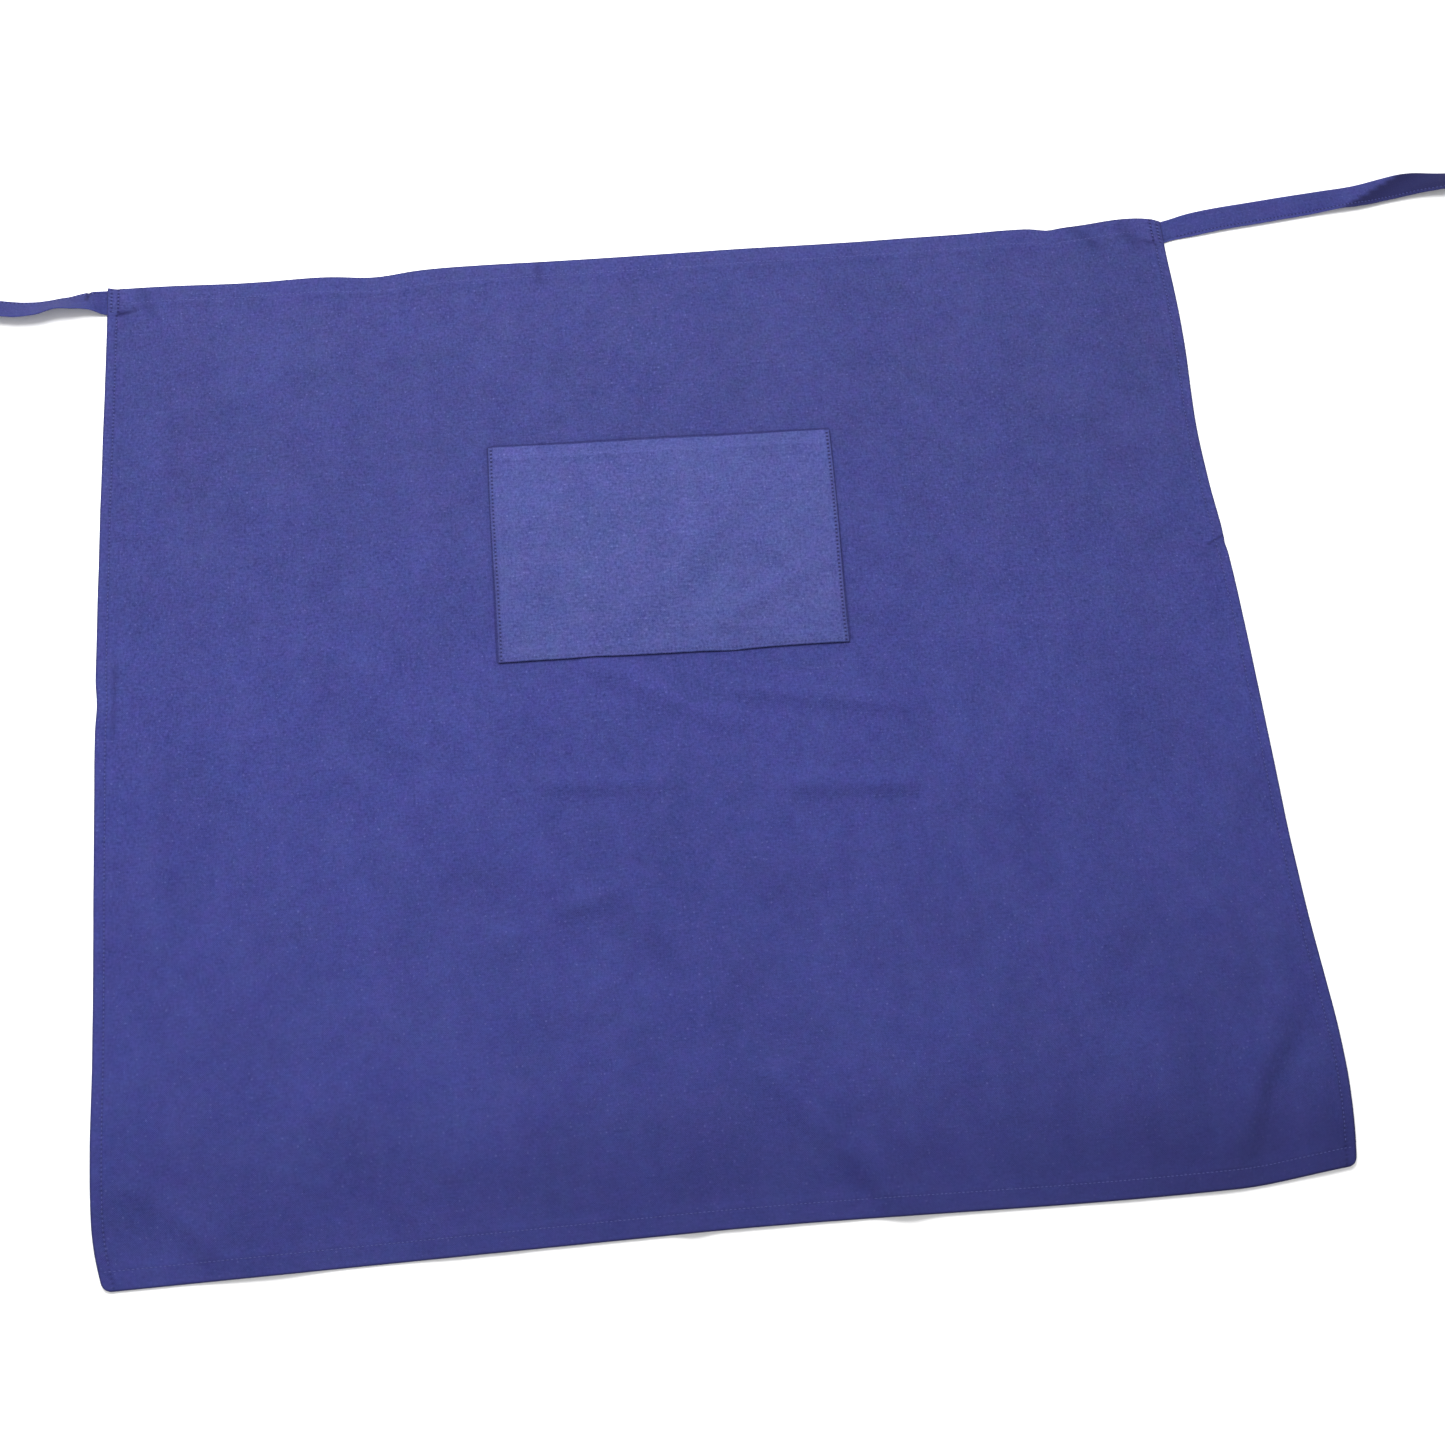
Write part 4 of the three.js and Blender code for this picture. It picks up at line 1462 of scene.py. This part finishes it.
@dataclass
class Tie:
    """One folded and stitched tie: tucked end, free strap, turn onto its edge and wound roll."""

    name: str
    side: int
    hinge: tuple[float, float]
    slope: float
    end: float
    roll_centre: float
    turns: tuple[tuple[float, float], ...]
    drift: tuple[tuple[float, float], ...]
    kink: Optional[float] = None
    pinch: float = 0.0
    ridge: Optional[tuple[float, float]] = None
    # Painted shade over the whole tie.
    overall_painted_shade: float = 0.0
    length: float = 900.0
    width: float = 20.0
    thick: float = 1.4
    tab: float = 14.0
    offset: float = 2.5
    rest: float = 0.4
    pitch: float = 2.1
    seam: float = 2.5
    flat_middle: tuple[float, float] = (150.0, 700.0)
    lanes: tuple[float, ...] = (
        *(-10.0, -9.9, -9.6, -9.1, -8.3, -7.9, -7.5, -7.1, -6.4),
        *(-4.0, -1.0, 2.0, 5.0, 8.0, 9.1, 9.6, 9.9, 10.0),
    )

    def wound(self) -> float:
        """Length of tie in the roll."""
        return self.length - self.tab - self.offset - self.end

    def roll_angle(self, t: Array) -> Array:
        """Angle wound after a length of tie.

        On a spiral whose radius falls by one pitch a turn, length is R times the angle less
        pitch over 4 pi times its square, which is solved for the angle.

        Args:
            t: length of tie from the start of the roll.
        Returns:
            The angle in radians.
        """
        shrink = self.pitch / (2.0 * TURN)
        inside = np.maximum(self.roll_centre**2 - 4.0 * shrink * t, 0.0)
        return (self.roll_centre - np.sqrt(inside)) / (2.0 * shrink)

    def middle(self, s: Array) -> tuple[Array, Array, Array]:
        """The tie's middle line and its two cross directions.

        Up to the roll, the middle runs straight out with a small drift to the side, and the
        cloth turns about it by an angle that passes smoothly through the named turns; its height
        keeps the lower edge just off the surface. In the roll it follows a flat spiral on edge.

        Args:
            s: distance from the hinge along the tie, negative inside the panel.
        Returns:
            Points, directions across the width and directions through the thickness.
        """
        angle = np.radians(smooth_through(s, self.turns))
        low, half = self.rest + 0.5 * self.thick, 0.5 * self.width
        height = low * np.abs(np.cos(angle)) + half * np.abs(np.sin(angle))
        phi = self.roll_angle(np.maximum(s - self.end, 0.0))
        radius = self.roll_centre - self.pitch * phi / TURN
        radius = radius * (1.0 + 0.012 * np.sin(2.0 * phi + 0.7) * smooth(phi / 3.0))
        run = np.minimum(s, self.end) + radius * np.sin(phi)
        bend = -self.side * (self.roll_centre - radius * np.cos(phi))
        aside = smooth_through(s, self.drift) * (s <= self.end) + bend
        lift = 0.35 * (1.0 - np.cos(0.37 * phi)) * smooth(phi / 6.0)
        none = np.zeros_like(s)
        tangent = unit(np.stack([np.cos(phi), -self.side * np.sin(phi), none], axis=-1))
        lying = np.stack([none, np.cos(angle), np.sin(angle)], axis=-1)
        upright = np.array([0.0, 0.0, np.sign(self.turns[-1][1])])
        across = np.where((s > self.end)[:, None], upright, lying)
        through = unit(np.cross(tangent, across))
        points = np.stack([run, aside, height + lift], axis=-1)
        return self.placed(points, True), self.placed(across, False), self.placed(through, False)

    def placed(self, vectors: Array, move: bool) -> Array:
        """Turns vectors from along the tie to the apron's frame.

        Args:
            vectors: rows of three numbers.
            move: also moves them to the hinge, for points.
        Returns:
            The turned rows.
        """
        angle = self.slope if self.side > 0 else np.pi - self.slope
        cos, sin = np.cos(angle), np.sin(angle)
        x, y, z = vectors[..., 0], vectors[..., 1], vectors[..., 2]
        turned = np.stack([x * cos - y * sin, x * sin + y * cos, z], axis=-1)
        return turned + np.array([*self.hinge, 0.0]) if move else turned

    def half_section(self, v: Array) -> Array:
        """Half the thickness at a place across: rounded edges, thinner at the stitch line.

        Args:
            v: places across.
        Returns:
            Half the thickness.
        """
        half = 0.5 * self.width
        seam = 1.0 - 0.3 * hump(v + half - self.seam, 0.6)
        swell = 0.92 + 0.08 * hump(v, 6.0)
        return 0.5 * self.thick * rounded(half - np.abs(v), 0.9) * seam * swell

    def past_ridge(self, s: Array, v: Array) -> Array:
        """Distance past the slanting ridge, which crosses from the lower to the upper edge.

        Args:
            s: distances along the tie.
            v: places across.
        Returns:
            The distance, square to the ridge.
        """
        low, high = self.ridge
        run = np.hypot(high - low, self.width)
        return ((s - 0.5 * (low + high)) * self.width - v * (high - low)) / run

    def surface(self, s: Array, v: Array, face: float) -> Array:
        """Points on one face of the tie.

        Half the thickness off the middle, plus a slow curl of the edges as the square of the
        place across, small puckers along the stitch line, and the kink or the ridge.

        Args:
            s: distances along the tie.
            v: places across, one for each distance.
            face: 1 for the upper face, -1 for the lower.
        Returns:
            The points.
        """
        points, across, through = self.middle(s)
        half = 0.5 * self.width
        v = v * (1.0 - self.pinch * hump(s, 15.0))
        curl = 0.35 * wander(s, np.zeros_like(s) + 3.0 * self.side, 70.0, 51) * (v / half) ** 2
        ruck = 0.10 * wander(s, v, 11.0, 52 + self.side) * hump(v + half - self.seam, 5.0)
        level = face * self.half_section(v)
        level = level + (curl + ruck) * smooth((s - 2.0) / 12.0) * (s < self.end)
        if self.kink is not None:
            level = level - 0.9 * hump(s - self.kink - 0.1 * v, 0.9) * smooth((-v - 1.0) / 3.0)
        if self.ridge is not None:
            level = level + 2.0 * hump(self.past_ridge(s, v), 6.0)
        return points + across * v[:, None] + through * level[:, None]

    def dark(self, s: Array, v: Array) -> Array:
        """Painted shade on the tie: some all over, more at its stitches, in its kink and past its
        ridge.

        Args:
            s: distances along the tie, as a column.
            v: places across, as a row.
        Returns:
            The shade, as a grid.
        """
        # Painted shade: some over the whole tie and a line along its stitches.
        shade = self.overall_painted_shade + 0.2 * hump(v + 0.5 * self.width - self.seam, 0.5) + 0.0 * s
        # Painted shade in the kink's crease.
        if self.kink is not None:
            line = hump(s - self.kink - 0.1 * v, 2.0) * smooth((-v + 2.0) / 3.5)
            shade = np.maximum(shade, line)
        # Painted shade past the ridge, where the tie turns away from the lamp.
        if self.ridge is not None:
            past = self.past_ridge(s, v)
            dim = smooth((past + 0.5) / 2.0) * (1.0 - 0.15 * hump(past - 13.0, 8.0))
            dim = dim * (1.0 - smooth((s - self.ridge[1] - 40.0) / 40.0))
            shade = np.maximum(shade, dim * (0.72 + 0.28 * smooth((v + 9.5) / 4.0)))
        return shade

    def build(self, finish: ClothFinish, material: bpy.types.Material, sewer: Sewer) -> None:
        """Makes the tie as one band from its tucked end to the inner end of its roll.

        Args:
            finish: not used.
            material: the finish's material.
            sewer: makes the stitches.
        """
        body = f"{self.name}_tie"
        half = 0.5 * self.width
        edge = half - self.seam
        lanes = np.array(self.lanes) * half / 10.0
        strap = np.arange(-self.tab - self.offset, self.end, 1.6)
        s = np.concatenate([strap, np.linspace(self.end, self.end + self.wound(), 420)])
        rows = len(s)
        upper = [self.surface(s, np.full(rows, v), 1.0) for v in lanes]
        lower = [self.surface(s, np.full(rows, v), -1.0) for v in lanes[-2:0:-1]]
        ring = np.stack(upper + lower, axis=1)
        along, across = s[:, None], np.concatenate([lanes, lanes[-2:0:-1]])[None, :]
        index = np.arange(ring.shape[0] * ring.shape[1]).reshape(ring.shape[:2])
        walls = grid_quads(np.concatenate([index, index[:, :1]], axis=1), flip=True)
        flat_x, flat_y = along + self.flat_middle[0] * self.side, across + self.flat_middle[1]
        cloth = np.stack(np.broadcast_arrays(flat_x, flat_y), axis=-1).reshape(-1, 2)
        values = {
            "wear": (0.5 * hump(half - np.abs(across), 0.8) + 0.0 * along).ravel(),
            "shade": self.dark(along, across).ravel(),
            # Painted shade of the needle holes along the lower edge.
            "row": (0.7 * hump(across + edge, 0.6) * (along > 5.0)).ravel(),
        }
        faces = [walls, index[0][None, ::-1], index[-1][None, :]]
        piece = write_mesh(body, ring.reshape(-1, 3), faces, values, cloth)
        level = self.rest + 0.5 * self.thick
        start, stop = (
            tuple(self.placed(np.array([place, 0.0, level]), True) * METRES)
            for place in (0.2 - self.offset, self.offset + 1.0)
        )
        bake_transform(piece)
        dress(piece, material, [f"{body}_strap", f"{body}_roll", f"{body}_tab"])
        self.width * METRES
        log.info("%s: %.0f mm wound", body, self.wound())
        places = np.linspace(6.0, self.end + self.wound() - 2.0, 3000)
        lane, flat = np.full(len(places), -edge), places + self.flat_middle[0] * self.side
        _, _, through = self.middle(places)
        for face, sign in ((Face.FRONT, 1.0), (Face.BACK, -1.0)):
            run = (self.surface(places, lane, sign), sign * through, flat)
            sewer.sew(f"{body}_edge_{face.value}_thread", body, [run])


# ---------------------------------------------------------------------------------------------
# Studio


@dataclass(frozen=True)
class Eye:
    """The camera: where it looks, from where, and how wide."""

    azimuth: float = -14.35
    elevation: float = 74.36
    roll: float = 9.15
    distance: float = 1.2676
    target: tuple[float, float, float] = (0.0223, -0.0142, 0.0)
    focal_share: float = 1800.0 / 1445.0
    sensor: float = 36.0

    def build(self) -> None:
        """Makes the camera and sets it as the scene's."""
        az, el, roll = np.radians([self.azimuth, self.elevation, self.roll])
        back = Vector((np.sin(az) * np.cos(el), -np.cos(az) * np.cos(el), np.sin(el)))
        level = Vector((0.0, 0.0, 1.0)).cross(back).normalized()
        upright = back.cross(level)
        right = level * np.cos(roll) + upright * np.sin(roll)
        up = upright * np.cos(roll) - level * np.sin(roll)
        lens = bpy.data.cameras.new("camera")
        lens.sensor_width = self.sensor
        lens.lens = self.sensor * self.focal_share
        lens.clip_start = 0.01
        camera = bpy.data.objects.new("camera", lens)
        place = Matrix.Translation(Vector(self.target) + back * self.distance)
        camera.matrix_world = place @ Matrix((right, up, back)).transposed().to_4x4()
        bpy.context.scene.collection.objects.link(camera)
        bpy.context.scene.camera = camera


@dataclass(frozen=True)
class Studio:
    """Pale floor, pale surroundings and one soft square light."""

    lamp_place: tuple[float, float, float] = (-0.22, 0.72, 1.30)
    lamp_aim: tuple[float, float, float] = (-0.16, 0.33, 0.0)
    lamp_size: float = 0.9
    lamp_watts: float = 35.5
    surround: float = 0.85
    floor_size: float = 12.0
    floor_drop: float = 0.0002
    paper: float = 0.93

    def lamp(self) -> None:
        """Makes the light and points it."""
        data = bpy.data.lights.new("key", "AREA")
        data.shape = "SQUARE"
        data.size = self.lamp_size
        data.energy = self.lamp_watts
        lamp = bpy.data.objects.new("key", data)
        lamp.location = self.lamp_place
        aim = Vector(self.lamp_aim) - Vector(self.lamp_place)
        lamp.rotation_euler = aim.to_track_quat("-Z", "Y").to_euler()
        bpy.context.scene.collection.objects.link(lamp)

    def floor(self) -> None:
        """Makes the floor of matt paper, just under the apron."""
        reach, low = 0.5 * self.floor_size, -self.floor_drop
        signs = ((-1, -1), (1, -1), (1, 1), (-1, 1))
        mesh = bpy.data.meshes.new("floor")
        mesh.from_pydata([(reach * x, reach * y, low) for x, y in signs], [], [(0, 1, 2, 3)])
        floor = bpy.data.objects.new("floor", mesh)
        bpy.context.scene.collection.objects.link(floor)
        sockets = {"Base Color": (self.paper, self.paper, self.paper, 1.0), "Roughness": 0.9}
        floor.data.materials.append(Shader("floor_paper").finish(sockets))

    def build(self) -> None:
        """Makes the world, the floor and the light."""
        world = bpy.data.worlds.new("studio")
        world.use_nodes = True
        background = world.node_tree.nodes["Background"]
        background.inputs["Color"].default_value = (1.0, 1.0, 1.0, 1.0)
        background.inputs["Strength"].default_value = self.surround
        bpy.context.scene.world = world
        self.floor()
        self.lamp()
        bpy.context.scene.view_settings.view_transform = "Standard"
        bpy.context.scene.view_settings.look = "None"


# ---------------------------------------------------------------------------------------------
# The whole apron


PANEL_CLOTH = ClothFinish("blue_cotton", "panel_cloth", (0.0252, 0.0290, 0.147), 1.15)
POCKET_CLOTH = ClothFinish("light_blue_cotton", "pocket_cloth", (0.0366, 0.0430, 0.164), 1.15)
TIE_CLOTH = ClothFinish("blue_cotton_tape", "tie_cloth", (0.0232, 0.0270, 0.130), 0.9)
THREAD = ThreadFinish("blue_thread", (0.044, 0.051, 0.195))


def middle_of(node: str) -> tuple[Array, Array]:
    """The middle and the half size of a node's box, in millimetres."""
    low, high = (np.array(corner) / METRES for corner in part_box(node))
    return 0.5 * (low + high), 0.5 * (high - low)


@dataclass
class Apron:
    """All the cloth and thread of the apron."""

    waist_half: float = 399.0
    bottom_half: float = 415.0
    pocket_half: tuple[float, float] = (125.0, 82.0)
    pocket_turn: float = -1.1

    def build(self) -> None:
        """Builds every sub-assembly in order."""
        sewer = Sewer(THREAD.build())
        panel_cloth, pocket_cloth, tie_cloth = (
            finish.build() for finish in (PANEL_CLOTH, POCKET_CLOTH, TIE_CLOTH)
        )
        _, panel_half = middle_of("body_panel")
        tab_middle, tab_half = middle_of("right_tie_tab")
        pocket_middle, _ = middle_of("pocket_panel")
        turn = float(np.radians(self.pocket_turn))
        panel = Panel(self.waist_half, self.bottom_half, float(panel_half[1]))
        panel.patch = Pocket(panel, tuple(pocket_middle[:2]), *self.pocket_half, turn)
        panel.build(PANEL_CLOTH, panel_cloth)
        PanelSeams(panel, float(tab_middle[1]), float(tab_half[1])).build(sewer)
        panel.patch.build(POCKET_CLOTH, pocket_cloth, sewer)
        for tie in self.ties(float(tab_middle[1])):
            tie.build(TIE_CLOTH, tie_cloth, sewer)

    def ties(self, tie_y: float) -> list[Tie]:
        """The left and the right tie, each with its own lie.

        Args:
            tie_y: how far up the panel they leave it.
        Returns:
            Both ties.
        """
        joints = {joint["name"]: joint["pos_m"][0] for joint in frame["joints"]}
        hinges, rolls = {}, {}
        for name in ("left", "right"):
            hinges[name] = (float(joints[f"{name}_tie_fold"]) / METRES, tie_y)
            _, half = middle_of(f"{name}_tie_roll")
            rolls[name] = float(half[0]) + 1.0
        left_turns = ((-4, 0), (1, 4), (9, 21), (17, 30), (32, 42), (48, 36))
        left_turns += ((64, 31), (82, 31), (142, 90))
        left_drift = ((-10, 0), (2, 0), (9, -0.5), (17, 0), (25, 1.3), (32, 1.6))
        left_drift += ((48, 3.8), (63, 3.4), (79, 0.9), (120, 0))
        right_turns = ((0, 0), (30, -3), (80, -5), (129, -7), (153, -9))
        right_turns += ((178, -8), (200, -12), (226, -27), (275, -90))
        right_drift = ((-14, 1.4), (0, 2.9), (30, 4.4), (80, 3.6), (129, 2.6))
        right_drift += ((153, 1.6), (178, 2.4), (205, 2.2), (229, -1.2), (275, 0))
        left = Tie("left", -1, hinges["left"], 0.0, 152.0, rolls["left"], left_turns, left_drift)
        left.kink = 13.0
        # The left tie gets painted shade all over.
        left.overall_painted_shade = 0.26
        slope = float(np.radians(7.5))
        right = Tie(
            "right", 1, hinges["right"], slope, 287.0, rolls["right"], right_turns, right_drift
        )
        right.pinch = 0.14
        right.ridge = (137.0, 192.0)
        return [left, right]


def main() -> None:
    """Builds the studio and the apron."""
    logging.basicConfig(level=logging.INFO, format="%(name)s: %(message)s")
    Eye().build()
    Studio().build()
    Apron().build()
    bpy.context.view_layer.update()


if __name__ == "__main__":
    main()
